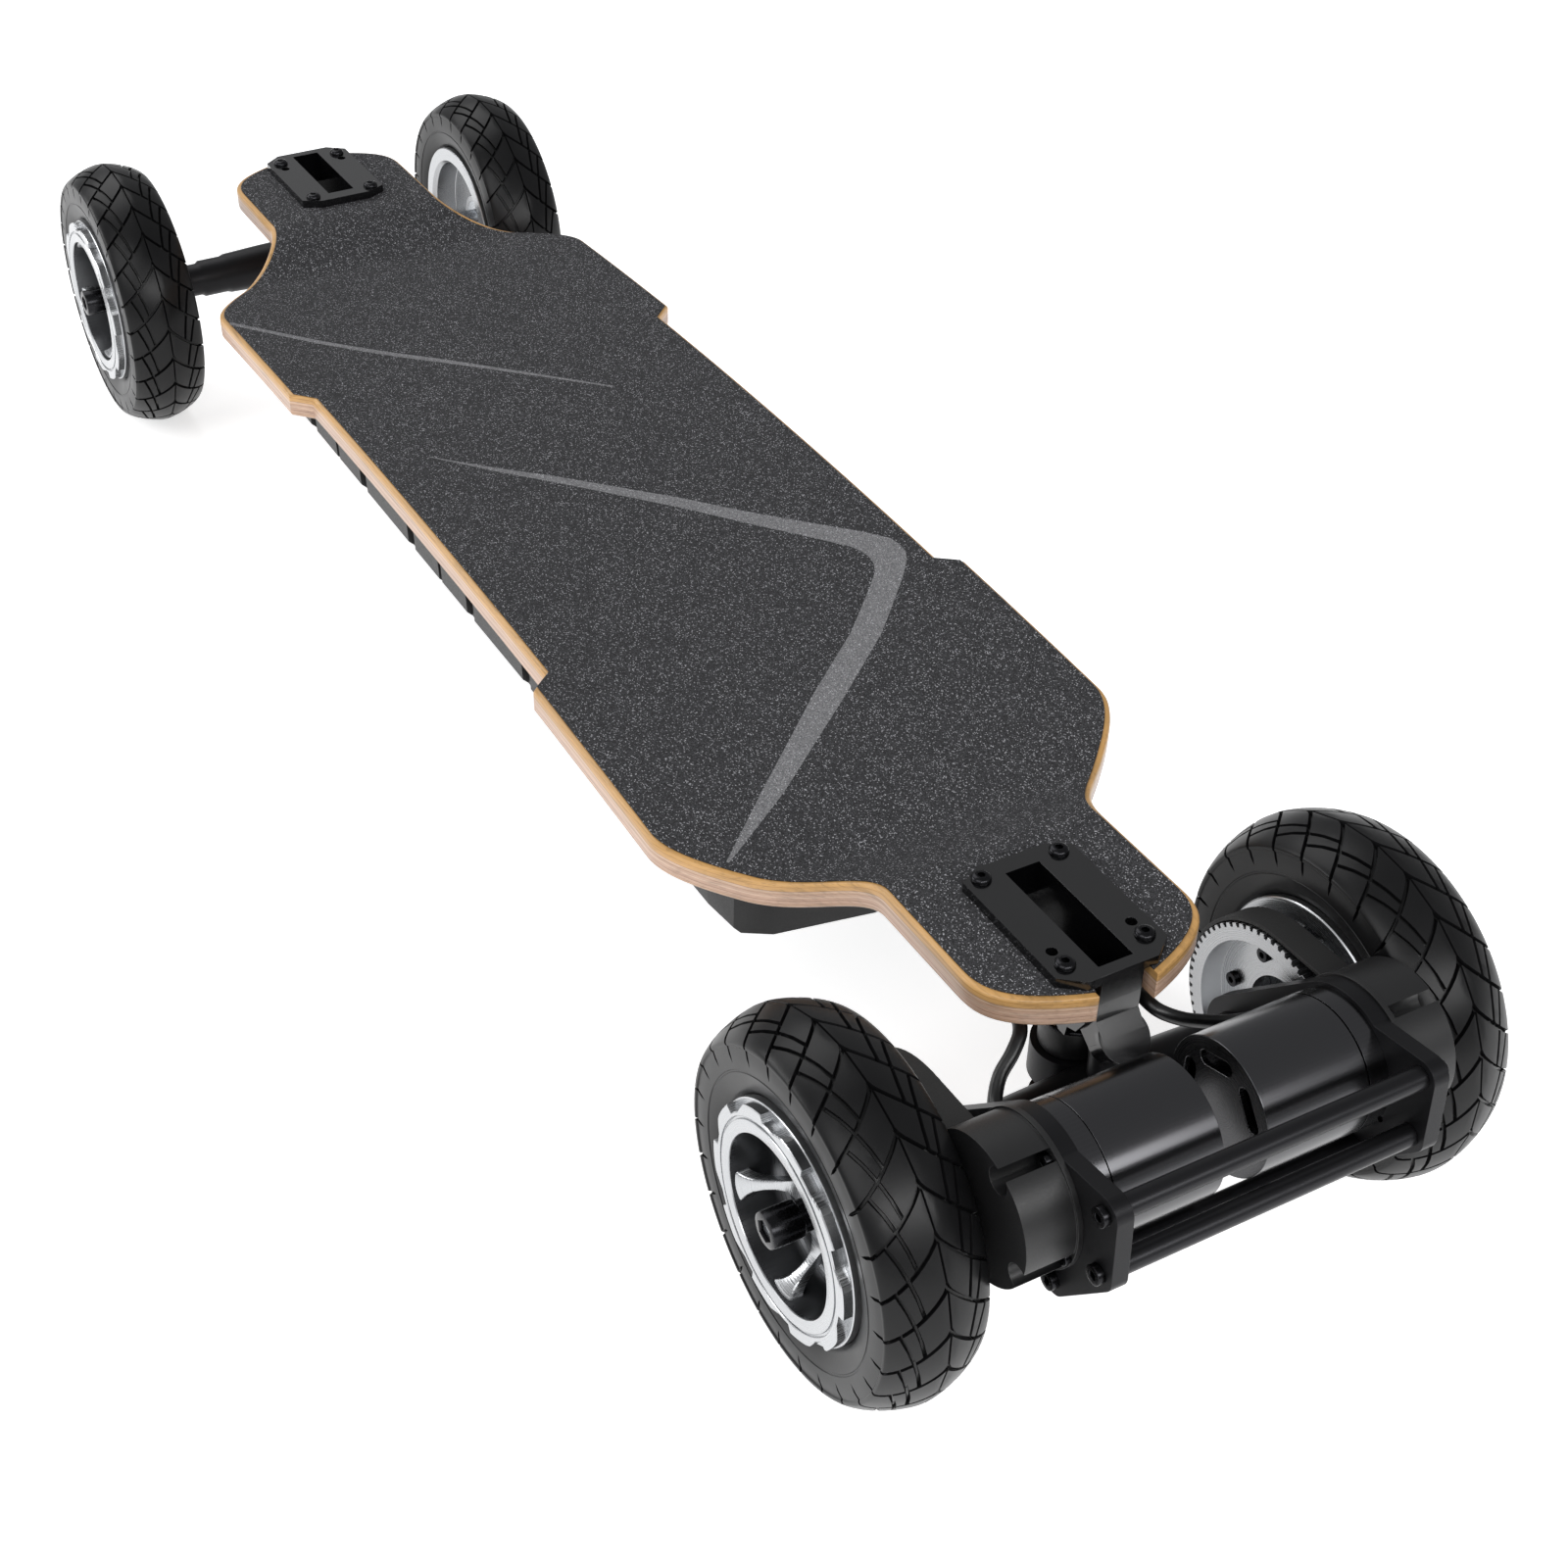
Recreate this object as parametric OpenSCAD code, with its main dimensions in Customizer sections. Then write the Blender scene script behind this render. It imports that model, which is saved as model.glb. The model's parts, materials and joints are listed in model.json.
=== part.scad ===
// Electric skateboard with air-filled tyres and twin belt drive on the rear truck.
// Millimetres. +X towards the nose, +Y to the rider's left, +Z up.
// The origin is on the ground, in the middle of the whole board's length and width.

/* [Deck] */
// Height of the deck's top at both truck platforms
platform_z = 159; // [156:1:166]
// Thickness of the laminated deck
deck_t = 14; // [11:0.5:16]
// How far the deck runs past each axle
deck_over = 7.3; // [3:0.1:9]
// Width across the foot platform at its widest
deck_w = 254; // [240:1:300]
// Width along the stepped-in waist
waist_w = 232; // [220:1:236]
// Width of the nose and tail platforms
nose_w = 118; // [104:1:126]
// Depth of the step from the truck platforms down to the foot platform
step_drop = 19; // [14:0.5:21]
// Rise of the arched foot platform at its middle
camber = 11; // [6:0.5:13]
// Lift of the foot platform's side edges
concave = 6; // [3:0.5:8]
// Length of the narrow waist
waist_len = 324; // [280:1:360]
// Width of the open slot that each truck drops through
slot_w = 30; // [29.5:0.5:34]
// Thickness of the grip sheet
grip_t = 1; // [0.8:0.1:1.6]
// Margin of bare wood around the grip sheet
grip_margin = 2.5; // [1:0.5:5]

/* [Wheels] */
// Distance between the front and rear axles
wheelbase = 966; // [960:1:990]
// Distance between the left and right wheel centres
track = 272; // [272:1:310]
// Outer diameter of the air-filled tyre
tyre_d = 178; // [170:1:186]
// Width of the tyre
tyre_w = 49; // [46:1:52]
// Diameter over the rim's outer lip
rim_d = 110; // [106:1:116]
// Thickness of the tyre's rubber wall
tyre_wall = 5; // [4:0.5:7]
// Outer diameter of a wheel bearing
bearing_d = 28; // [24:1:30]
// Width of a wheel bearing
bearing_w = 8; // [7:1:9]
// Diameter of the wheel axle
axle_d = 12; // [10:1:13]
// Diameter of the long barrel nut on the axle
axle_nut_d = 17; // [15:1:20]
// Length of the barrel nut
axle_nut_len = 15.5; // [12:0.5:18]

/* [Trucks] */
// Length of the baseplate on the deck
plate_len = 85; // [84:1:90]
// Width of the baseplate
plate_w = 58; // [54:1:64]
// Thickness of the baseplate
plate_t = 5; // [4:0.5:6]
// Distance between mounting bolts along the board
bolt_long = 63.5; // [62:0.1:64]
// Distance between mounting bolts across the board
bolt_wide = 41.3; // [40:0.1:43]
// Distance from the outer bolts to the spare holes
spare_offset = 9.5; // [9:0.1:11]
// Diameter of the truck bolts
bolt_d = 5; // [4.5:0.1:5.5]
// Diameter of the kingpin
kingpin_d = 10; // [9:0.5:12]
// Diameter of the urethane bushings
bushing_d = 30; // [26:1:31]
// Height of one bushing
bushing_h = 16; // [14:0.5:18]
// Thickness of the hanger's ring between the bushings
ring_t = 18; // [15:0.5:20]
// Diameter of the hanger's arm at its middle
arm_root_d = 31; // [28:1:33]
// Diameter of the hanger's arm at its end
arm_tip_d = 22; // [20:1:24]
// Diameter of the hanger's pivot nose
pivot_d = 12; // [10:0.5:13]
// Wall of the pivot cup
cup_wall = 2; // [1.5:0.5:3]

/* [Drive] */
// Diameter of a motor
motor_d = 63; // [56:1:68]
// Tooth count of the wheel pulley
wheel_teeth = 64; // [60:2:66]
// Tooth count of the motor pulley
motor_teeth = 16; // [14:1:17]
// Tooth pitch of the belt
belt_pitch = 5; // [5:1:5]
// Width of the belt
belt_w = 15; // [12:1:15]
// Length of the belt
belt_len = 365; // [355:5:380]
// Angle of the motor above the axle, seen from the left side
motor_angle = 146.3; // [140:0.5:152]
// Thickness of the motor mount plate
mount_t = 8; // [6:0.5:9]
// Thickness of the belt cover's wall
cover_wall = 2.5; // [1.5:0.5:3]
// Diameter of the rear guard's rods
rod_d = 10; // [8:0.5:12]

/* [Battery box] */
// Distance from the front axle back to the battery box
front_clear = 163; // [148:5:173]
// Distance from the rear axle forward to the battery box
rear_clear = 142; // [138:1:153]
// Width of the battery box
box_w = 206; // [196:1:210]
// Height of the battery box's underside above the ground
box_z = 98; // [92:1:102]
// Wall thickness of the battery box
box_wall = 3; // [2:0.5:4]
// Depth of the upright grooves in the battery box's sides
groove_depth = 5; // [3:0.5:6]
// Diameter of a battery cell
cell_d = 21; // [18:0.5:21.5]
// Length of a battery cell
cell_len = 70; // [60:0.5:74]
// Diameter of a motor cable
cable_d = 6.5; // [5:0.5:9.5]

/* [Hidden] */
$fn = 64;
gap = 0.3;                  // clearance between pieces that move past each other
fit = 0.05;                 // radial clearance of a running fit or a bolt in its nut
over = 1;                   // how far a cut runs past the face that it opens

// ---- places worked out from the sizes above ----
axle_x = wheelbase / 2;
axle_z = tyre_d / 2;
wheel_y = track / 2;
deck_end = axle_x + deck_over;
plate_z = platform_z + grip_t;
box_front = axle_x - front_clear;       // reach of the box from the middle of the wheelbase
box_rear = axle_x - rear_clear;

// deck: distances from the middle along its length
step_in = 10;                           // length of the slanted notch at each end of the waist
shoulder_x = axle_x - 188;              // where the sides start to draw in
neck_x = axle_x - 91;                   // where the narrow platform starts
ramp_x = axle_x - 145;                  // where the foot platform starts to climb
corner_len = 42.5;                      // length of the rounded corners at nose and tail
prong_w = 1.5;                          // width of the deck's tips beside the slot
flat_half = 45;                         // half-width of the flat middle of the foot platform
concave_reach = 80;                     // distance over which the sides lift
deck_rows = [-1, -0.8, -0.6, -0.38, 0.38, 0.6, 0.8, 1];

// truck, in its own frame: u runs inboard from the axle, z up from the ground
bolt_u = 42.5;                          // middle of the mounting bolts
plate_out = -3;                         // outer end of the baseplate
slot_u = 78;                            // closed end of the deck's slot
ring_u = 25;
ring_z = axle_z + 3;
ring_r = 18;
kingpin_r = kingpin_d / 2;
washer_t = 2;
floor_z = ring_z + ring_t / 2 + gap + bushing_h + washer_t;
floor_t = 6;
pin_head_r = 8;
pin_head_h = 8;
nut_h = 8;
cheek_y = slot_w / 2 - 1;
window_w = 18;
window_len = 69.5;
axis_tilt = 41;                         // lean of the steering axis from upright
cup_from = 38;                          // where the pivot cup starts along the steering axis
cup_len = 12;
cup_r = pivot_d / 2 + cup_wall;
housing_r = cup_r + 2.5;
clamp_r = (arm_root_d + arm_tip_d) / 4 - 0.75;  // round seat of the motor mount on the arm
strap_w = 22;
strap_t = 6;
screw_head_r = 4.8;
screw_head_h = 2.8;
bolt_nut_h = 4;

// wheel, in its own frame: v runs outboard from the wheel's middle plane
bearing_in = 1;                         // inner edge of each bearing
axle_r = axle_d / 2;
bearing_r = bearing_d / 2;
hub_r = bearing_r + 4;
rim_r = rim_d / 2;
bead_r = rim_r - 5;
web_v = -6;                             // inboard face of the rim's web
window_r = rim_r - 14;                  // reach of the windows between the spokes
tyre_half = tyre_w / 2;
axle_shoulder = wheel_y - bearing_in - bearing_w - gap;
nut_from = wheel_y + bearing_in + bearing_w + gap;
nut_neck = 9;                           // length of an axle nut's slim inner end
axle_end = nut_from + nut_neck + axle_nut_len - 2;

// drive, in the truck's frame
pulley_in = wheel_y - 48;               // inner face of the wheel pulley
pulley_w = belt_w + 3;
arm_end = pulley_in + 8;                // where a hanger's arm stops, from the middle
pitch_wheel = wheel_teeth * belt_pitch / PI / 2;
pitch_motor = motor_teeth * belt_pitch / PI / 2;
tip_drop = 0.57;                        // tooth tips lie this far inside the pitch line
tooth_h = 2.1;
belt_back = 1.7;                        // the belt's back stands this far outside the pitch line
belt_free = belt_len - PI * (pitch_wheel + pitch_motor);
centre_gap = (belt_free + sqrt(pow(belt_free, 2) - 8 * pow(pitch_wheel - pitch_motor, 2))) / 4;
motor_u = centre_gap * cos(motor_angle);
motor_z = axle_z + centre_gap * sin(motor_angle);
axle_at = [0, axle_z];
motor_at = [motor_u, motor_z];
motor_r = motor_d / 2;
mount_out = pulley_in - 6;
mount_in = mount_out - mount_t;
base_t = 9.7;                           // thickness of the motor's fixed base
base_in = mount_in - base_t;
motor_in = 11;                          // inner end of a motor, from the middle
shaft_r = 4;
can_wall = 2.5;
cover_r = motor_r + 2;
cover_len = 26;
flange_t = 2.5;                         // foot of the belt cover on the mount plate
wheel_clear = pitch_wheel + belt_back + 1.5;
ear_r = rod_d / 2 + 3;
rods = [[motor_u - 44, motor_z + 26], [motor_u - 46, motor_z - 5], [motor_u - 20, motor_z - 35]];
rod_screw_r = 2.5;
cover_screws = [[28, 112], [31, 200]];  // distance from the motor's axis, and angle
small_screw_r = 2;
small_head_r = 3.6;
gland_angle = -13;                      // where the cable enters the motor's base
gland_len = 5.5;
pulley_screw_at = 32;                   // distance of the wheel pulley's screws from the axle
pulley_screw_count = 6;

// the whole board's middle lies behind the middle of its wheelbase, because of the rear guard
mid_x = (ear_r - rods[1][0] - tyre_d / 2) / 2;

// battery box
box_half = box_w / 2;
side_wall = box_wall + groove_depth;
groove_first = 212;
groove_period = 157.5;
groove_step = 42;
wide_groove = 10;
narrow_groove = 4;
seam = 0.2;                             // seal between the box and the deck
box_screws = [for (i = [0:3]) groove_first + 36 - i * groove_period];
box_screw_y = box_half - side_wall - 6;
box_screw_bite = 8;
box_floor = box_z + box_wall;
cell_rows = 20;
cell_gap = 0.6;
cell_first = 240;
side_z = box_z + 21;                    // height of the port and the button in the right side
port_x = 75;
button_x = 107;
side_pocket = box_half - 4;             // how far out their flat seat lies
port_r = 7;
button_r = 6;
button_travel = 1.5;
cap_pin_r = 1.2;
cap_pin_z = side_z + 12;

// motor cables: x from the middle of the wheelbase, y outboard, z up
left_route = [[-347.2, 27, 116], [-359, 27.2, 116.6], [-374, 30, 124], [-388, 32, 130], [-404, 34, 134],
              [-424, 36, 136], [-444, 36, 137], [-462, 36.5, 137], [-472, 40, 135.5], [-478, 47.5, 131],
              [-482, 56, 125], [-488, 62, 120], [-494.5, 66, 118.4], [-501, 68.4, 119.5], [-506.8, 69, 120.9]];
right_route = [[-347.2, 27, 116], [-359, 27.2, 116.6], [-374, 29, 124], [-388, 30, 130], [-404, 29, 133],
               [-424, 27, 133], [-444, 24, 133], [-462, 21, 134], [-476, 20, 134], [-486, 22, 132],
               [-491, 31, 127], [-493, 42, 122], [-496, 56, 118], [-501, 67.5, 119.6], [-506.8, 69, 120.9]];

// ---- frames ----
module board() { translate([mid_x, 0, 0]) children(); }
module rear_truck() { translate([mid_x - axle_x, 0, 0]) children(); }
module front_truck() { translate([mid_x + axle_x, 0, 0]) mirror([1, 0, 0]) children(); }
module both_trucks() {
    rear_truck() children();
    front_truck() children();
}
module right() { mirror([0, 1, 0]) children(); }
module both_sides() {
    children();
    right() children();
}
// an outline drawn as [u, z], made thick across the board from y0 to y1
module across(y0, y1) { translate([0, y1, 0]) rotate([90, 0, 0]) linear_extrude(y1 - y0) children(); }
// a row of points mirrored across the X axis, in reverse order
function mirrored(p) = [for (i = [len(p) - 1:-1:0]) [p[i][0], -p[i][1]]];
// a solid drawn round Z at [u, z], laid along +Y with its foot at y
module along_y(at, y) { translate([at[0], y, at[1]]) rotate([-90, 0, 0]) children(); }
// the steering axis: foot in the middle of the hanger's ring, pointing outboard and up
module on_axis(s) {
    translate([ring_u, 0, ring_z]) rotate([0, -axis_tilt, 0]) translate([0, 0, s]) children();
}
// an arc's points, then the outline of two circles and the straight sides that touch both
function arc(c, r, from, to) = let (n = ceil((to - from) / 5))
    [for (i = [0:n]) let (a = from + (to - from) * i / n) c + r * [cos(a), sin(a)]];
module link(p, r, q, s) {
    a = atan2(q[1] - p[1], q[0] - p[0]);
    b = acos((r - s) / norm(q - p));
    polygon(concat(arc(p, r, a + b, a - b + 360), arc(q, s, a - b, a + b)));
}
module tube(r, bore, h) {
    difference() {
        cylinder(r = r, h = h);
        translate([0, 0, -over]) cylinder(r = bore, h = h + 2 * over);
    }
}
// a round-headed screw, head standing on z = 0 and shank below it
module screw(head_r, head_h, shank_r, reach) {
    cylinder(r = head_r, h = head_h);
    translate([0, 0, -reach]) cylinder(r = shank_r, h = reach);
}
module hex_nut(flats, bore, h) {
    difference() {
        cylinder(r = flats / 2 / cos(30), h = h, $fn = 6);
        translate([0, 0, -over]) cylinder(r = bore, h = h + 2 * over);
    }
}

// ---- deck ----
function clamped(t) = min(1, max(0, t));
function smooth(t) = let (s = clamped(t)) s * s * (3 - 2 * s);
function ramp(x) = smooth((abs(x) - ramp_x) / (neck_x - ramp_x));
function edge_lift(y) = concave * pow(clamped((abs(y) - flat_half) / concave_reach), 1.5);
function arch(x) = camber * (1 - pow(min(abs(x), ramp_x) / ramp_x, 2));
function deck_z(x, y) = platform_z + (1 - ramp(x)) * (arch(x) - step_drop + edge_lift(y));
function draw_in(a) = (deck_w - nose_w) / 2 * smooth((a - shoulder_x) / (neck_x - shoulder_x));
function notch(a) = (deck_w - waist_w) / 2 * clamped((waist_len / 2 + step_in - a) / step_in);
function corner(a) = (nose_w / 2 - slot_w / 2 - prong_w)
    * pow(clamped((a - deck_end + corner_len) / corner_len), 3);
function half_w(x) = let (a = abs(x)) deck_w / 2 - draw_in(a) - notch(a) - corner(a);

// stations along one half of the deck, then along the whole of it
side_start = waist_len / 2 + step_in;
corner_start = deck_end - corner_len;
half_stations = concat(
    [for (i = [0:4]) i * waist_len / 8],
    [for (i = [0:2]) side_start + i * (shoulder_x - side_start) / 3],
    [for (i = [0:11]) shoulder_x + i * (neck_x - shoulder_x) / 11],
    [for (i = [0:7]) corner_start + corner_len * sin(90 / 7 * i)]);
last = len(half_stations) - 1;
stations = concat([for (i = [last:-1:1]) -half_stations[i]], half_stations);

// a sheet that follows the deck, from one height above the deck's top to another
module deck_sheet(above, below) {
    n = len(deck_rows);
    m = len(stations);
    points = [for (h = [above, below], x = stations, k = deck_rows)
              let (y = k * half_w(x)) [x, y, deck_z(x, y) + h]];
    under = m * n;
    cells = [for (i = [0:m - 2], j = [0:n - 2]) i * n + j];
    sides = [for (i = [0:m - 2]) i * n];
    ends = [for (j = [0:n - 2]) j];
    far = (m - 1) * n;
    polyhedron(points, concat(
        [for (c = cells) [c, c + n + 1, c + n]],
        [for (c = cells) [c, c + 1, c + n + 1]],
        [for (c = cells) [c + under, c + n + under, c + n + 1 + under]],
        [for (c = cells) [c + under, c + n + 1 + under, c + 1 + under]],
        [for (s = sides) [s, s + n, s + n + under]],
        [for (s = sides) [s, s + n + under, s + under]],
        [for (s = sides) [s + n - 1, s + n - 1 + under, s + 2 * n - 1 + under]],
        [for (s = sides) [s + n - 1, s + 2 * n - 1 + under, s + 2 * n - 1]],
        [for (e = ends) [e, e + under, e + 1 + under]],
        [for (e = ends) [e, e + 1 + under, e + 1]],
        [for (e = ends) [far + e, far + e + 1, far + e + 1 + under]],
        [for (e = ends) [far + e, far + e + 1 + under, far + e + under]]));
}

// the slot and bolt holes of one truck, in the truck's frame
module truck_cut() {
    translate([-slot_u, -slot_w / 2, 0]) cube([2 * slot_u, slot_w, 2 * platform_z]);
    mounting_bolts(0) cylinder(r = bolt_d / 2 + 0.2, h = 2 * platform_z);
}
module mounting_bolts(z) {
    for (u = [-1, 1], side = [-1, 1])
        translate([bolt_u + u * bolt_long / 2, side * bolt_wide / 2, z]) children();
}
module box_screw_places(z) {
    for (x = box_screws, side = [-1, 1]) translate([x, side * box_screw_y, z]) children();
}
function box_screw_top(x) = deck_z(x, box_screw_y) - deck_t + box_screw_bite;

module deck() {
    color("burlywood") difference() {
        board() deck_sheet(0, -deck_t);
        both_trucks() truck_cut();
        board() for (x = box_screws, side = [-1, 1]) translate([x, side * box_screw_y, box_floor])
            cylinder(r = small_screw_r + fit, h = box_screw_top(x) - box_floor);
    }
}

// the grip sheet's outline, set in from the deck's edge
module grip_plan() {
    trim = (deck_end - grip_margin) / deck_end;
    side = [for (x = stations) [x * trim, half_w(x) - grip_margin]];
    polygon(concat(side, mirrored(side)));
}
module grip_tape() {
    color([0.1, 0.1, 0.11]) difference() {
        board() intersection() {
            deck_sheet(grip_t, 0);
            linear_extrude(2 * platform_z) grip_plan();
        }
        both_trucks() truck_cut();
    }
}

// ---- battery box ----
function box_corner(reach, half) =
    [[reach, 30], [reach - 9, half - 23], [reach - 19, half - 7], [reach - 41, half]];
module box_plan(end_in, side_in) {
    f = box_corner(box_front - end_in, box_half - side_in);
    r = box_corner(box_rear - end_in, box_half - side_in);
    polygon(concat(f, [for (i = [3:-1:0]) [-r[i][0], r[i][1]]],
                   [for (p = r) [-p[0], -p[1]]], [for (i = [3:-1:0]) [f[i][0], -f[i][1]]]));
}
// the box's outside: drawn sides with a chamfer along the bottom
module box_outside() {
    section = [[box_half, platform_z], [box_half - 2, box_z + 8], [box_half - 10, box_z]];
    intersection() {
        linear_extrude(platform_z) box_plan(0, 0);
        translate([-box_rear - over, 0, 0]) rotate([90, 0, 90])
            linear_extrude(box_front + box_rear + 2 * over)
            polygon(concat(section, [for (i = [2:-1:0]) [-section[i][0], section[i][1]]]));
    }
}
module box_grooves() {
    for (i = [0:3], k = [0:2], side = [-1, 1]) {
        w = k == 1 ? narrow_groove : wide_groove;
        x = groove_first - i * groove_period - k * groove_step;
        if (x > -box_rear + 50)
            translate([x - w / 2, side * (box_half + over - groove_depth / 2) - groove_depth / 2 - over, 0])
                cube([w, groove_depth + 2 * over, platform_z]);
    }
}

module battery_box() {
    color([0.12, 0.12, 0.13]) board() difference() {
        union() {
            difference() {
                box_outside();
                translate([0, 0, box_floor]) linear_extrude(platform_z) box_plan(box_wall, side_wall);
            }
            box_screw_places(box_z) cylinder(r = 6.5, h = platform_z - box_z);
            cable_glands();
        }
        deck_sheet(2 * deck_t + step_drop, -deck_t - seam);
        box_grooves();
        box_screw_places(box_z - over) cylinder(r = small_head_r + 0.4, h = box_wall + over);
        box_screw_places(box_z) cylinder(r = small_screw_r + fit, h = platform_z);
        right() port_cuts();
    }
}
module cable_glands() {
    for (side = [-1, 1]) translate([-box_rear - 6, side * left_route[0][1], left_route[0][2]])
        rotate([0, 90, 0]) cylinder(r = cable_d / 2 + 2, h = 6 + box_wall / 2);
}
module port_cuts() {
    translate([port_x - 14, side_pocket, side_z - 14]) cube([28, 2 * groove_depth, cap_pin_z - side_z + 18]);
    along_y([port_x, side_z], box_half - 3 * side_wall) cylinder(r = port_r + fit, h = 3 * side_wall);
    along_y([button_x, side_z], side_pocket) cylinder(r = button_r + 4.4, h = side_wall);
    along_y([button_x, side_z], box_half - 3 * side_wall)
        cylinder(r = button_r + 2.5 + fit, h = 3 * side_wall);
}

module battery_box_screws() {
    color("black") board() for (x = box_screws, side = [-1, 1])
        translate([x, side * box_screw_y, box_floor]) mirror([0, 0, 1])
            screw(small_head_r, box_wall - 0.4, small_screw_r, box_screw_top(x) - box_floor - over);
}

module battery_cells() {
    color("steelblue") board() for (i = [0:cell_rows - 1], side = [0, 1])
        along_y([cell_first - i * (cell_d + cell_gap), box_floor + cell_d / 2 + 0.1],
                side * (cell_len + cell_gap) - cell_len - cell_gap / 2)
            cylinder(r = cell_d / 2, h = cell_len);
}

module speed_controller() {
    len = 110;
    wide = 76;
    color("silver") board() translate([-box_rear + 23, -wide / 2, box_floor]) {
        cube([len, wide, 16]);
        for (i = [0:8]) translate([4, 4 + i * 8.2, 16]) cube([len - 8, 2.4, 5]);
    }
}

// ---- power button and charging port, in the box's right side ----
module button_housing() {
    color([0.2, 0.2, 0.21]) board() right() along_y([button_x, side_z], side_pocket - 12) difference() {
        union() {
            cylinder(r = button_r + 2.5, h = 12);
            translate([0, 0, 12]) cylinder(r = button_r + 4, h = 2);
        }
        translate([0, 0, 2.5]) cylinder(r = button_r + 1.7, h = 6.5);
        translate([0, 0, 2.5]) cylinder(r = button_r + fit, h = 12);
    }
}
module power_button() {
    color("firebrick") board() right() along_y([button_x, side_z], side_pocket - 5.4) {
        cylinder(r = button_r, h = 9.2);
        cylinder(r = button_r + 1.3, h = 2.1);
    }
}

cap_y = side_pocket + 2 + gap;
cap_t = 2;
cap_pin_y = cap_y + cap_t;
module charge_port() {
    color([0.2, 0.2, 0.21]) board() right() difference() {
        union() {
            along_y([port_x, side_z], side_pocket - 12) cylinder(r = port_r, h = 12);
            translate([port_x - 13, side_pocket, side_z - 13]) cube([26, 2, 28]);
            for (x = [-13, 10]) translate([port_x + x, side_pocket, cap_pin_z - 3])
                cube([3, cap_pin_y + 2.2 - side_pocket, 5.2]);
        }
        along_y([port_x, side_z], side_pocket - 10) cylinder(r = 4, h = 20);
        translate([port_x - 20, cap_pin_y, cap_pin_z]) rotate([0, 90, 0])
            cylinder(r = cap_pin_r + fit, h = 40);
    }
}
module charge_port_cap() {
    color([0.25, 0.25, 0.26]) board() right() {
        translate([port_x - 9.5, cap_y, side_z - 11]) cube([19, cap_t, cap_pin_z - side_z + 11]);
        translate([port_x - 9.5, cap_pin_y, cap_pin_z]) rotate([0, 90, 0]) cylinder(r = cap_t, h = 19);
        translate([port_x - 13, cap_pin_y, cap_pin_z]) rotate([0, 90, 0]) cylinder(r = cap_pin_r, h = 26);
    }
}

// ---- baseplates ----
module flange_plan() {
    in = plate_out + plate_len;
    w = plate_w / 2;
    half = [[plate_out, w - 11], [plate_out + 8.5, w], [in - 6, w], [in, w - 12]];
    polygon(concat(half, [for (i = [3:-1:0]) [half[i][0], -half[i][1]]]));
}
module baseplate() {
    top = plate_z + plate_t;
    in = plate_out + strap_t + window_len;
    pocket = floor_z + floor_t;
    color([0.08, 0.08, 0.09]) difference() {
        union() {
            translate([0, 0, plate_z]) linear_extrude(plate_t) flange_plan();
            across(-cheek_y, cheek_y)
                polygon([[slot_u - 2, plate_z + 1], [1, plate_z + 1], [1, 136], [6, 127.5], [12, floor_z + 6],
                         [13, floor_z], [41, floor_z], [60, floor_z + 18], [slot_u - 2, floor_z + 22]]);
            across(-strap_w / 2, strap_w / 2)
                polygon([[plate_out, plate_z + 1], [plate_out, 139], [-9, 132], [0, 122], [8, 128],
                         [plate_out + strap_t, 142], [plate_out + strap_t, plate_z + 1]]);
            on_axis(cup_from) cylinder(r = housing_r, h = cup_len + 2.5);
            on_axis(cup_from + cup_len - 0.5) cylinder(r = housing_r + 2, h = 3);
        }
        across(-window_w / 2, window_w / 2)
            polygon([[plate_out + strap_t, top + over], [plate_out + strap_t, 144], [13, 133], [13, pocket],
                     [38, pocket], [57, pocket + 18], [in, pocket + 22], [in, top + over]]);
        translate([ring_u, 0, 0]) cylinder(r = kingpin_r + fit, h = platform_z);
        on_axis(cup_from - over) cylinder(r = cup_r + fit, h = cup_len + over);
        mounting_bolts(plate_z - over) cylinder(r = bolt_d / 2 + 0.2, h = plate_t + 2 * over);
        for (side = [-1, 1])
            translate([bolt_u - bolt_long / 2 + spare_offset, side * bolt_wide / 2, plate_z - over])
                cylinder(r = bolt_d / 2 + 0.2, h = plate_t + 2 * over);
    }
}
module front_baseplate() { front_truck() baseplate(); }
module rear_baseplate() { rear_truck() baseplate(); }

module truck_screws() {
    color("black") both_trucks() mounting_bolts(plate_z + plate_t)
        screw(screw_head_r, screw_head_h, bolt_d / 2, plate_t + grip_t + deck_t + bolt_nut_h + over);
}
module truck_nuts() {
    color("dimgray") both_trucks() mounting_bolts(platform_z - deck_t - bolt_nut_h)
        hex_nut(8, bolt_d / 2 + fit, bolt_nut_h);
}

// ---- kingpin, bushings and pivot cup ----
lower_z = ring_z - ring_t / 2 - gap - bushing_h;
nut_z = lower_z - washer_t - nut_h;
module kingpins() {
    color("dimgray") both_trucks() translate([ring_u, 0, floor_z + floor_t])
        screw(pin_head_r, pin_head_h, kingpin_r, floor_z + floor_t - nut_z + 4);
}
module kingpin_washers() {
    color("silver") both_trucks() for (z = [floor_z - washer_t, lower_z - washer_t])
        translate([ring_u, 0, z]) tube(bushing_d / 2 + 1, kingpin_r + fit, washer_t);
}
module kingpin_nuts() {
    color("dimgray") both_trucks() translate([ring_u, 0, nut_z]) hex_nut(17, kingpin_r + fit, nut_h);
}
module bushing_pair() {
    color([0.16, 0.16, 0.17]) translate([ring_u, 0, 0]) {
        translate([0, 0, floor_z - washer_t - bushing_h]) tube(bushing_d / 2, kingpin_r + fit, bushing_h);
        translate([0, 0, lower_z]) difference() {
            cylinder(r1 = bushing_d / 2 - 3, r2 = bushing_d / 2, h = bushing_h);
            translate([0, 0, -over]) cylinder(r = kingpin_r + fit, h = bushing_h + 2 * over);
        }
    }
}
module front_bushings() { front_truck() bushing_pair(); }
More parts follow.
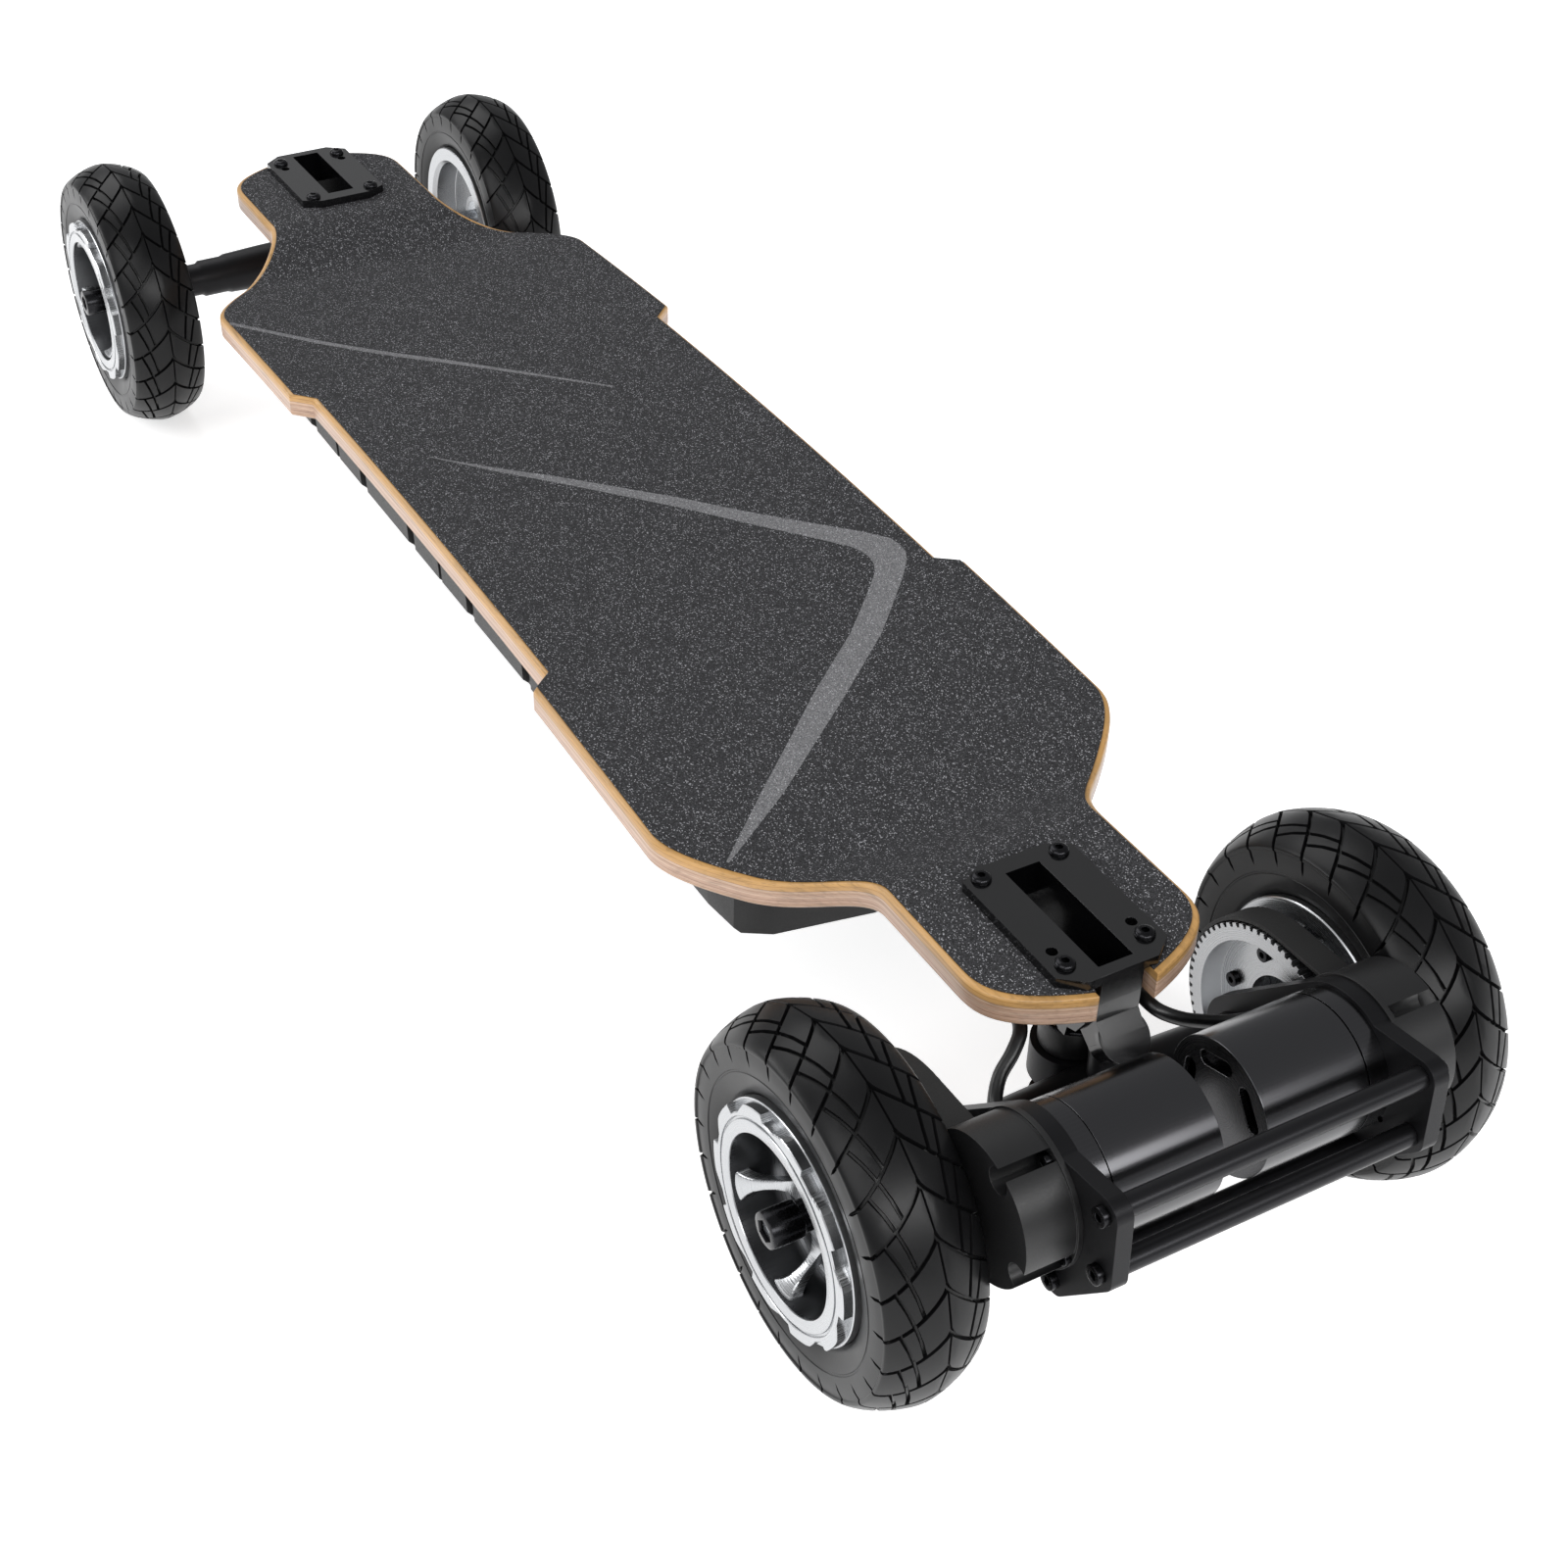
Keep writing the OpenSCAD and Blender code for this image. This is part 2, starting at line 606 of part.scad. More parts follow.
module rear_bushings() { rear_truck() bushing_pair(); }
module pivot_cups() {
    color("dimgray") both_trucks() on_axis(cup_from) difference() {
        cylinder(r = cup_r, h = cup_len);
        translate([0, 0, -over]) cylinder(r = pivot_d / 2 + fit, h = cup_len - 1);
    }
}

// ---- hangers and axles ----
module hanger() {
    root = arm_root_d / 2;
    tip = arm_tip_d / 2;
    arm = [[root, 0], [root - 1, 41], [clamp_r + 1, mount_in - 8], [clamp_r, mount_in - 5],
           [clamp_r, mount_out + 3], [tip, mount_out + 5], [tip, arm_end]];
    color([0.11, 0.11, 0.12]) difference() {
        union() {
            translate([ring_u, 0, ring_z - ring_t / 2]) cylinder(r = ring_r, h = ring_t);
            both_sides() along_y(axle_at, 0) rotate_extrude() polygon(concat([[0, 0]], arm, [[0, arm_end]]));
            difference() {
                translate([-6, 0, ring_z]) rotate([0, 13, 0])
                    cylinder(r1 = pivot_d / 2 + 5, r2 = pivot_d / 2 + 2, h = 28);
                on_axis(cup_from - 1) translate([-ring_r, -ring_r, 0]) cube(2 * ring_r);
            }
            on_axis(cup_from - 5) cylinder(r = pivot_d / 2, h = cup_len + 1.5);
            on_axis(cup_from + cup_len - 3.5) cylinder(r1 = pivot_d / 2, r2 = pivot_d / 2 - 1.5, h = 1.5);
        }
        translate([ring_u, 0, 0]) cylinder(r = kingpin_r + 3, h = platform_z);
        translate([ring_u, 0, lower_z - over])
            cylinder(r = bushing_d / 2 + gap, h = bushing_h + over + gap - 2 * fit);
        both_sides() along_y(axle_at, arm_end / 2) cylinder(r = axle_r + fit, h = arm_end);
    }
}
module front_hanger() { front_truck() hanger(); }
module rear_hanger() { rear_truck() hanger(); }
module axle_pair() {
    color("silver") both_sides() {
        along_y(axle_at, arm_end / 2) cylinder(r = axle_r, h = axle_end - arm_end / 2);
        along_y(axle_at, arm_end) cylinder(r = axle_r + 2, h = axle_shoulder - arm_end);
    }
}
module front_axles() { front_truck() axle_pair(); }
module rear_axles() { rear_truck() axle_pair(); }
module nut_pair() {
    full = nut_neck + axle_nut_len;
    bore = axle_r + fit;
    color([0.1, 0.1, 0.1]) both_sides() along_y(axle_at, nut_from) rotate_extrude()
        polygon([[bore, 0], [bore + 1.2, 0], [bore + 1.2, nut_neck], [axle_nut_d / 2, nut_neck],
                 [axle_nut_d / 2, full], [bore, full]]);
}
module front_axle_nuts() { front_truck() nut_pair(); }
module rear_axle_nuts() { rear_truck() nut_pair(); }

// ---- wheels: drawn at the left, with v running outboard ----
module tyre() {
    shoulder = 11;
    bend = 1.43;
    r = tyre_d / 2;
    outer = concat([[bead_r + 0.1, tyre_half - 6.1], [rim_r + 0.1, tyre_half - 4.6],
                    [rim_r + 2, tyre_half - 2.6],
                    [rim_r + 8, tyre_half - 0.7]],
                   [for (a = [0:15:90])
                    [r - shoulder + shoulder * pow(sin(a), bend), tyre_half * pow(cos(a), bend)]]);
    inner_half = tyre_half - tyre_wall;
    inner = [[r - tyre_wall, 0], [r - tyre_wall - 2, inner_half - 7], [r - shoulder - 3, inner_half],
             [rim_r + 7, inner_half - 1], [rim_r, inner_half - 4], [bead_r + 0.1, inner_half - 6.1]];
    lower = concat([for (i = [len(inner) - 1:-1:1]) [inner[i][0], -inner[i][1]]], inner);
    around = concat([for (p = outer) [p[0], -p[1]]], [for (i = [len(outer) - 2:-1:0]) outer[i]]);
    color([0.1, 0.1, 0.1]) along_y(axle_at, wheel_y) rotate_extrude()
        polygon(concat(around, [for (i = [len(lower) - 1:-1:0]) lower[i]]));
}
// a spoke's top line from ring to hub as [r, v], and its plan as [r, half-width]
spoke_line = [[42, 4], [38.6, -1], [33.8, -7], [29, -12.5], [22, -15], [17, -15]];
spoke_plan = [[42.5, 11], [40.5, 8], [38, 4], [33.8, 2.5], [29, 2.5], [22, 4], [17, 6]];
spoke_t = 6;
spoke_angles = [for (i = [0:4]) 20 + 72 * i];
module spoke() {
    intersection() {
        translate([0, 0, web_v]) linear_extrude(2 * tyre_w)
            polygon(concat(spoke_plan, mirrored(spoke_plan)));
        across(-rim_r, rim_r) translate([0, tyre_half - 0.7])
            polygon(concat(spoke_line, [for (i = [len(spoke_line) - 1:-1:0]) spoke_line[i] - [0, spoke_t]]));
    }
}
module rim() {
    face = tyre_half + 4;
    seat = bearing_in + bearing_w;
    bore = bearing_r + fit;
    well = bead_r - 3;
    color("silver") along_y(axle_at, wheel_y) difference() {
        union() {
            rotate_extrude() polygon([
                [bore, -seat], [hub_r, -seat], [hub_r + 2, web_v], [well - 3, web_v],
                [well - 3, 3.7 - tyre_half], [well - 1, 0.7 - tyre_half], [rim_r, 0.7 - tyre_half],
                [rim_r, 4.5 - tyre_half],
                [bead_r, 6 - tyre_half], [well, 12 - tyre_half], [well, tyre_half - 12],
                [bead_r, tyre_half - 6], [rim_r, tyre_half - 4.5], [rim_r, tyre_half - 1],
                [rim_r - 0.6, tyre_half - 1], [rim_r - 0.6, face], [well + 1.5, face], [well + 1.5, face - 1.2],
                [well - 0.2, face - 1.2], [well - 0.2, face], [window_r, face], [window_r, 9],
                [window_r - 4, 3], [hub_r + 4, 2], [hub_r, 5], [hub_r, seat], [bore, seat], [bore, bearing_in],
                [bore - 1.5, bearing_in], [bore - 1.5, -bearing_in], [bore, -bearing_in]]);
            for (a = spoke_angles) rotate([0, 0, a]) spoke();
        }
        pulley_screw_ring() translate([0, 0, web_v - over]) cylinder(r = small_screw_r + fit, h = 6 + over);
    }
}
module bearings() {
    color("gainsboro") along_y(axle_at, wheel_y) for (v = [-bearing_in - bearing_w, bearing_in])
        translate([0, 0, v]) tube(bearing_r, axle_r + fit, bearing_w);
}
module pulley_screw_ring() {
    for (i = [0:pulley_screw_count - 1]) rotate([0, 0, 360 / pulley_screw_count * i])
        translate([pulley_screw_at, 0, 0]) children();
}
module front_left_tyre() { front_truck() tyre(); }
module front_right_tyre() { front_truck() right() tyre(); }
module rear_left_tyre() { rear_truck() tyre(); }
module rear_right_tyre() { rear_truck() right() tyre(); }
module front_left_rim() { front_truck() rim(); }
module front_right_rim() { front_truck() right() rim(); }
module rear_left_rim() { rear_truck() rim(); }
module rear_right_rim() { rear_truck() right() rim(); }
module front_left_bearings() { front_truck() bearings(); }
module front_right_bearings() { front_truck() right() bearings(); }
module rear_left_bearings() { rear_truck() bearings(); }
module rear_right_bearings() { rear_truck() right() bearings(); }

// ---- pulleys and belts ----
module gear(teeth) {
    tip = teeth * belt_pitch / PI / 2 - tip_drop;
    step = 360 / teeth;
    polygon([for (i = [0:teeth - 1], k = [[-0.34, -tooth_h], [-0.22, 0], [0.22, 0], [0.34, -tooth_h]])
             let (a = (i + k[0]) * step) (tip + k[1]) * [cos(a), sin(a)]]);
}
module wheel_pulley() {
    bore = pitch_wheel - tooth_h - 7;
    web = 6;
    post = wheel_y + web_v - pulley_in - pulley_w;
    color("gainsboro") along_y(axle_at, pulley_in) difference() {
        union() {
            linear_extrude(pulley_w) difference() {
                gear(wheel_teeth);
                circle(bore);
            }
            translate([0, 0, pulley_w - web]) cylinder(r = bore + 1, h = web);
            pulley_screw_ring() translate([0, 0, pulley_w - web]) cylinder(r = 5, h = web + post);
        }
        cylinder(r = hub_r + 3, h = pulley_w + over);
        pulley_screw_ring() cylinder(r = small_screw_r + fit, h = pulley_w + post + over);
    }
}
module left_wheel_pulley() { rear_truck() wheel_pulley(); }
module right_wheel_pulley() { rear_truck() right() wheel_pulley(); }
module pulley_screws() {
    web = 6;
    color("black") along_y(axle_at, pulley_in + pulley_w - web) pulley_screw_ring() mirror([0, 0, 1])
        screw(small_head_r, 3, small_screw_r, wheel_y + web_v - pulley_in - pulley_w + web + 5);
}
module left_pulley_screws() { rear_truck() pulley_screws(); }
module right_pulley_screws() { rear_truck() right() pulley_screws(); }

module belt() {
    inside = gap + 2 * fit - tip_drop;
    color([0.09, 0.09, 0.09]) across(pulley_in + 1.5, pulley_in + 1.5 + belt_w) difference() {
        link(axle_at, pitch_wheel + belt_back, motor_at, pitch_motor + belt_back);
        link(axle_at, pitch_wheel + inside, motor_at, pitch_motor + inside);
    }
}
module left_belt() { rear_truck() belt(); }
module right_belt() { rear_truck() right() belt(); }

module motor_pulley() {
    color("silver") along_y(motor_at, pulley_in) difference() {
        union() {
            linear_extrude(pulley_w - over) gear(motor_teeth);
            cylinder(r = pitch_motor + 2.5, h = 1.2);
        }
        translate([0, 0, -over]) cylinder(r = shaft_r + fit, h = pulley_w + 2 * over);
    }
}
module left_motor_pulley() { rear_truck() motor_pulley(); }
module right_motor_pulley() { rear_truck() right() motor_pulley(); }

// ---- motors ----
module rotor() {
    can = base_in - 0.5 - motor_in;
    vent_at = motor_r - 10;
    color([0.13, 0.13, 0.14]) {
        along_y(motor_at, motor_in) difference() {
            tube(motor_r, shaft_r / 2, can);
            translate([0, 0, 3]) cylinder(r = motor_r - can_wall, h = can);
            for (i = [0:4]) rotate([0, 0, 72 * i]) translate([0, 0, -over]) linear_extrude(5)
                link(vent_at * [cos(18), sin(18)], 3.5, vent_at * [cos(18), -sin(18)], 3.5);
        }
        along_y(motor_at, motor_in) cylinder(r = shaft_r, h = pulley_in + pulley_w - 1.2 - motor_in);
    }
}
module left_rotor() { rear_truck() rotor(); }
module right_rotor() { rear_truck() right() rotor(); }
module motor_base() {
    stator_from = motor_in + 7;
    along_y(motor_at, stator_from) tube(motor_r - can_wall - 3, shaft_r + fit, base_in - stator_from);
    along_y(motor_at, base_in) tube(motor_r, shaft_r + fit, base_t);
    translate([motor_u, base_in + base_t / 2, motor_z]) rotate([0, 90 - gland_angle, 0])
        translate([0, 0, motor_r - 3]) cylinder(r = base_t / 2 - fit, h = 3 + gland_len);
}
module motor_bases() { color([0.15, 0.15, 0.16]) rear_truck() both_sides() motor_base(); }

function cover_screw_at(s) = motor_at + s[0] * [cos(s[1]), sin(s[1])];
module motor_mount() {
    color([0.08, 0.08, 0.08]) across(mount_in, mount_out) difference() {
        union() {
            link(axle_at, clamp_r + 7.5, motor_at, motor_r + 2);
            for (rod = rods) link(motor_at, motor_r - 4, rod, ear_r);
            for (i = [0:1]) link(rods[i], ear_r, rods[i + 1], ear_r);
        }
        translate(axle_at) circle(clamp_r + fit);
        translate(motor_at) circle(shaft_r + 4);
        for (rod = rods) translate(rod) circle(rod_screw_r + fit);
        for (s = cover_screws) translate(cover_screw_at(s)) circle(small_screw_r + fit);
    }
}
module left_motor_mount() { rear_truck() motor_mount(); }
module right_motor_mount() { rear_truck() right() motor_mount(); }

// the cover's outline, with a scallop at each of its screws
module cover_plan() {
    difference() {
        translate(motor_at) circle(cover_r);
        for (s = cover_screws) translate(cover_screw_at(s)) circle(small_head_r + 2.5);
        translate(axle_at) circle(wheel_clear);
    }
}
module belt_cover() {
    room = pitch_motor + belt_back + 2;
    color([0.07, 0.07, 0.07]) difference() {
        union() {
            across(mount_out, mount_out + flange_t) translate(motor_at) circle(cover_r + 1);
            across(mount_out, mount_out + cover_len) cover_plan();
        }
        across(mount_out - over, mount_out + cover_len - cover_wall)
            link(axle_at, wheel_clear + 1, motor_at, room);
        for (s = cover_screws) along_y(cover_screw_at(s), mount_out - over)
            cylinder(r = small_screw_r + fit, h = flange_t + 2 * over);
    }
}
module left_belt_cover() { rear_truck() belt_cover(); }
module right_belt_cover() { rear_truck() right() belt_cover(); }
module drive_screws() {
    color("gray") rear_truck() both_sides() for (s = cover_screws)
        along_y(cover_screw_at(s), mount_out + flange_t)
            screw(small_head_r, 3, small_screw_r, flange_t + mount_t - 1);
}

// ---- rear guard ----
module guard_rods() {
    hole = 16;
    color("dimgray") rear_truck() for (rod = rods) along_y(rod, -mount_in) difference() {
        cylinder(r = rod_d / 2, h = 2 * mount_in);
        for (y = [-over, 2 * mount_in - hole]) translate([0, 0, y])
            cylinder(r = rod_screw_r + fit, h = hole + over);
    }
}
module guard_screws() {
    color("black") rear_truck() both_sides() for (rod = rods)
        along_y(rod, mount_out) screw(4.5, 3.2, rod_screw_r, mount_t + 13);
}

// ---- motor cables ----
function spline(p, q, r, s, t) =
    0.5 * (2 * q + (r - p) * t + (2 * p - 5 * q + 4 * r - s) * t * t + (3 * q - p - 3 * r + s) * t * t * t);
function smooth_route(w) = concat([for (i = [0:len(w) - 2], t = [0, 0.5])
    spline(w[max(i - 1, 0)], w[i], w[i + 1], w[min(i + 2, len(w) - 1)], t)], [w[len(w) - 1]]);
function unit(v) = v / norm(v);
module cable(route) {
    p = smooth_route(route);
    n = 10;
    m = len(p);
    along = [for (i = [0:m - 1]) unit(p[min(i + 1, m - 1)] - p[max(i - 1, 0)])];
    points = [for (i = [0:m - 1], j = [0:n - 1])
              let (side = unit(cross(along[i], [0, 0, 1])), up = cross(side, along[i]))
              p[i] + cable_d / 2 * (cos(36 * j) * side + sin(36 * j) * up)];
    polyhedron(points, concat(
        [for (i = [0:m - 2], j = [0:n - 1]) [i * n + j, i * n + (j + 1) % n, (i + 1) * n + (j + 1) % n]],
        [for (i = [0:m - 2], j = [0:n - 1]) [i * n + j, (i + 1) * n + (j + 1) % n, (i + 1) * n + j]],
        [[for (j = [n - 1:-1:0]) j]],
        [[for (j = [0:n - 1]) (m - 1) * n + j]]));
}
module left_motor_cable() { color([0.05, 0.05, 0.05]) board() cable(left_route); }
module right_motor_cable() { color([0.05, 0.05, 0.05]) board() right() cable(right_route); }

deck();
grip_tape();
battery_box();
battery_box_screws();
battery_cells();
speed_controller();
button_housing();
power_button();
charge_port();
charge_port_cap();
front_baseplate();
rear_baseplate();
truck_screws();
truck_nuts();
kingpins();
kingpin_washers();
kingpin_nuts();
front_bushings();
rear_bushings();
pivot_cups();
front_hanger();
rear_hanger();
front_axles();
rear_axles();
front_axle_nuts();
rear_axle_nuts();
left_motor_mount();
right_motor_mount();
left_belt_cover();
right_belt_cover();
drive_screws();
motor_bases();
left_rotor();
right_rotor();
left_motor_pulley();
right_motor_pulley();
left_belt();
right_belt();
guard_rods();
guard_screws();
left_motor_cable();
right_motor_cable();
front_left_tyre();
front_right_tyre();
rear_left_tyre();
rear_right_tyre();
front_left_rim();
front_right_rim();
rear_left_rim();
rear_right_rim();
front_left_bearings();
front_right_bearings();
rear_left_bearings();
rear_right_bearings();
left_wheel_pulley();
right_wheel_pulley();
left_pulley_screws();
right_pulley_screws();
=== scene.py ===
import json
import math
import bpy
import bmesh
import mathutils
from mathutils import Matrix, Vector


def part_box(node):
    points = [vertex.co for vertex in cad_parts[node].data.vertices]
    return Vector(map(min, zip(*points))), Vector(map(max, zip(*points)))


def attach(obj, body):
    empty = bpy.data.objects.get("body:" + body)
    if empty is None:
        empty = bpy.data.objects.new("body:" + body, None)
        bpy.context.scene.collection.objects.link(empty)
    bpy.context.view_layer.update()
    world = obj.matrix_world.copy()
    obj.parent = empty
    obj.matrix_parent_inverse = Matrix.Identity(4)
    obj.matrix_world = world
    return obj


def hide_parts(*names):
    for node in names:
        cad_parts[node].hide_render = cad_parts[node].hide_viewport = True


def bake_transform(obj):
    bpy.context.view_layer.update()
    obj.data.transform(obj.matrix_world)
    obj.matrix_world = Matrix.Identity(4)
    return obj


# electric skateboard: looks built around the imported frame
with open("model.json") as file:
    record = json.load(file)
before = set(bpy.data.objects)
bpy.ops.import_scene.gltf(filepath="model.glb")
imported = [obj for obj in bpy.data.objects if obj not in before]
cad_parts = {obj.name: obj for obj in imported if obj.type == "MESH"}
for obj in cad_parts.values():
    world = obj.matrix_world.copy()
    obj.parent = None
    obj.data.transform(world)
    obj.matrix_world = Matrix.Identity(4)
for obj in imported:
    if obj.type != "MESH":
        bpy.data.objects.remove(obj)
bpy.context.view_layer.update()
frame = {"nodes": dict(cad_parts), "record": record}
nodes = frame["nodes"]
slotOf = {part["node"]: part["material_slot"] for part in frame["record"]["subparts"]}
bodyOf = {name: body for body, names in frame["record"]["behaviour"]["bodies"].items() for name in names}
print("frame loaded:", len(nodes), "nodes")


def boxOf(node):  # a node's lowest and highest corners, in millimetres
    low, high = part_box(node)
    return low * 1000, high * 1000


def middleOf(node):
    low, high = boxOf(node)
    return (low + high) / 2


rearAxle = middleOf("rear_left_rim")
frontAxle = middleOf("front_left_rim")
midX = (rearAxle.x + frontAxle.x) / 2  # middle of the wheelbase
axleZ = rearAxle.z
print("axles at", [round(v, 1) for v in rearAxle], [round(v, 1) for v in frontAxle])


# materials

def linear(hexText):  # sRGB hex to linear colour
    values = [int(hexText[i:i + 2], 16) / 255 for i in (1, 3, 5)]
    return tuple(v / 12.92 if v <= 0.04045 else ((v + 0.055) / 1.055) ** 2.4 for v in values) + (1,)


def startMaterial(name):
    material = bpy.data.materials.new(name)
    material.use_nodes = True
    return material, material.node_tree, material.node_tree.nodes["Principled BSDF"]


def add(tree, kind, inputs=None, **settings):  # one node, its settings, its values and links
    made = tree.nodes.new(kind)
    for key, value in settings.items():
        setattr(made, key, value)
    for key, value in (inputs or {}).items():
        if isinstance(value, bpy.types.NodeSocket):
            tree.links.new(value, made.inputs[key])
        else:
            made.inputs[key].default_value = value
    return made


def ramp(tree, source, stops):  # stops are (position, hex colour or grey level)
    made = add(tree, "ShaderNodeValToRGB", {"Fac": source})
    band = made.color_ramp
    while len(band.elements) < len(stops):
        band.elements.new(0.5)
    for element, (place, value) in zip(band.elements, stops):
        element.position = place
        element.color = linear(value) if isinstance(value, str) else (value, value, value, 1)
    return made


def bumpFrom(tree, shader, height, strength, distance):
    made = add(tree, "ShaderNodeBump", {"Height": height, "Strength": strength, "Distance": distance})
    tree.links.new(made.outputs["Normal"], shader.inputs["Normal"])


# a metal or plastic with fine grain: grainMm is the size of the blast or mould texture
def finish(name, colour, metallic, roughness, grainMm=0.6, grain=0.1, bump=0.00003, variation=0.05, coat=0.0):
    material, tree, shader = startMaterial(name)
    place = add(tree, "ShaderNodeTexCoord").outputs["Object"]
    fine = add(tree, "ShaderNodeTexNoise",
               {"Vector": place, "Scale": 1000 / grainMm, "Detail": 3.0}).outputs["Fac"]
    broad = add(tree, "ShaderNodeTexNoise", {"Vector": place, "Scale": 14.0, "Detail": 2.0}).outputs["Fac"]
    rough = add(tree, "ShaderNodeMapRange", {"Value": fine, "From Min": 0.3, "From Max": 0.7,
                                            "To Min": roughness - grain / 2, "To Max": roughness + grain / 2})
    tree.links.new(rough.outputs["Result"], shader.inputs["Roughness"])
    base = Vector(linear(colour)[:3])
    tint = add(tree, "ShaderNodeMix", {"Factor": broad}, data_type="RGBA")
    tint.inputs["A"].default_value = tuple(base * (1 - variation)) + (1,)
    tint.inputs["B"].default_value = tuple(base * (1 + variation)) + (1,)
    tree.links.new(tint.outputs["Result"], shader.inputs["Base Color"])
    shader.inputs["Metallic"].default_value = metallic
    if coat:
        shader.inputs["Coat Weight"].default_value = coat
        shader.inputs["Coat Roughness"].default_value = 0.04
    if bump:
        bumpFrom(tree, shader, fine, 0.5, bump)
    return material


# turned aluminium: fine rings round each axle, cut by the lathe tool
def turned(name, colour, roughness, ringMm, axlePlaces, metallic=1.0, depth=0.00004):
    material, tree, shader = startMaterial(name)
    place = add(tree, "ShaderNodeTexCoord").outputs["Object"]
    split = add(tree, "ShaderNodeSeparateXYZ", {"Vector": place})
    flat = add(tree, "ShaderNodeCombineXYZ",
               {"X": split.outputs["X"], "Z": split.outputs["Z"]}).outputs["Vector"]
    nearest = None
    for x, z in axlePlaces:
        reach = add(tree, "ShaderNodeVectorMath", {0: flat, 1: (x / 1000, 0, z / 1000)},
                    operation="DISTANCE").outputs["Value"]
        if nearest is None:
            nearest = reach
        else:
            nearest = add(tree, "ShaderNodeMath", {0: nearest, 1: reach}, operation="MINIMUM").outputs["Value"]
    rings = add(tree, "ShaderNodeMath", {0: nearest, 1: 2000 * math.pi / ringMm},
                operation="MULTIPLY").outputs["Value"]
    wave = add(tree, "ShaderNodeMath", {0: rings}, operation="SINE").outputs["Value"]
    fine = add(tree, "ShaderNodeTexNoise", {"W": rings, "Scale": 0.35, "Detail": 4.0},
               noise_dimensions="1D").outputs["Fac"]
    rough = add(tree, "ShaderNodeMapRange", {"Value": fine, "From Min": 0.3, "From Max": 0.7,
                                            "To Min": roughness - 0.07, "To Max": roughness + 0.09})
    tree.links.new(rough.outputs["Result"], shader.inputs["Roughness"])
    tone = ramp(tree, fine, [(0.25, colour[0]), (0.75, colour[1])])
    tree.links.new(tone.outputs["Color"], shader.inputs["Base Color"])
    shader.inputs["Metallic"].default_value = metallic
    bumpFrom(tree, shader, wave, 0.25, depth)
    return material


def plyWood(name):  # bamboo face over pale maple plies, satin lacquer: warm glow and thin dark glue lines
    material, tree, shader = startMaterial(name)
    place = add(tree, "ShaderNodeTexCoord").outputs["Object"]
    ply = add(tree, "ShaderNodeAttribute", attribute_name="ply").outputs["Fac"]
    stretched = add(tree, "ShaderNodeMapping", {"Vector": place, "Scale": (7, 60, 260)}).outputs["Vector"]
    grain = add(tree, "ShaderNodeTexNoise", {"Vector": stretched, "Scale": 1.0, "Detail": 6.0,
                                             "Roughness": 0.65}).outputs["Fac"]
    pores = add(tree, "ShaderNodeTexNoise", {"Vector": stretched, "Scale": 6.0, "Detail": 3.0}).outputs["Fac"]
    wobble = add(tree, "ShaderNodeMath", {0: grain, 1: 0.016, 2: ply},
                 operation="MULTIPLY_ADD").outputs["Value"]
    glue = "#855f42"
    layers = ramp(tree, wobble, [
        (0.0, "#c99a5a"), (0.12, "#d2a467"), (0.14, "#b5864c"), (0.16, "#cd9f62"), (0.30, "#d0a36a"),
        (0.315, glue), (0.33, "#d3b59c"), (0.42, "#cdab92"), (0.435, "#a57d60"), (0.45, "#c5a38b"),
        (0.555, "#c9a892"), (0.57, "#e3cbb0"), (0.585, "#c9a68f"), (0.70, "#c3a08a"), (0.715, glue),
        (0.73, "#ccaa93"), (0.83, "#c7a48d"), (0.845, "#a67f63"), (0.86, "#c7a387"), (1.0, "#b59074")])
    shade = ramp(tree, grain, [(0.3, 0.5), (0.52, 0.8), (0.75, 0.93)])
    fleck = ramp(tree, pores, [(0.33, 0.66), (0.47, 1.0)])
    first = add(tree, "ShaderNodeMix", data_type="RGBA", blend_type="MULTIPLY")
    second = add(tree, "ShaderNodeMix", data_type="RGBA", blend_type="MULTIPLY")
    for mix, share, a, b in ((first, 0.85, layers, shade), (second, 0.7, None, fleck)):
        mix.inputs["Factor"].default_value = share
        tree.links.new(a.outputs["Color"] if a else first.outputs["Result"], mix.inputs["A"])
        tree.links.new(b.outputs["Color"], mix.inputs["B"])
    tree.links.new(second.outputs["Result"], shader.inputs["Base Color"])
    shader.inputs["Roughness"].default_value = 0.42
    shader.inputs["Coat Weight"].default_value = 0.2
    bumpFrom(tree, shader, grain, 0.3, 0.0001)
    return material


# silicon carbide grit on a black backing: dull, with bright facets
def gritSheet(name, dark, light, speckShare):
    material, tree, shader = startMaterial(name)
    place = add(tree, "ShaderNodeTexCoord").outputs["Object"]
    gritMm = 0.48  # real grit is 0.2 mm, drawn coarser so that it shows
    cells = add(tree, "ShaderNodeTexVoronoi", {"Vector": place, "Scale": 1000 / gritMm})
    level = add(tree, "ShaderNodeSeparateColor", {"Color": cells.outputs["Color"]}).outputs["Red"]
    tone = ramp(tree, level, [(0.0, dark[0]), (0.55, dark[1]), (1 - speckShare, dark[2]),
                              (1 - speckShare / 3, light), (1.0, light)])
    tree.links.new(tone.outputs["Color"], shader.inputs["Base Color"])
    shader.inputs["Roughness"].default_value = 0.8
    shader.inputs["Specular IOR Level"].default_value = 0.25
    height = add(tree, "ShaderNodeMath", {0: level, 1: cells.outputs["Distance"]},
                 operation="SUBTRACT").outputs["Value"]
    bumpFrom(tree, shader, height, 0.5, 0.0003)
    return material


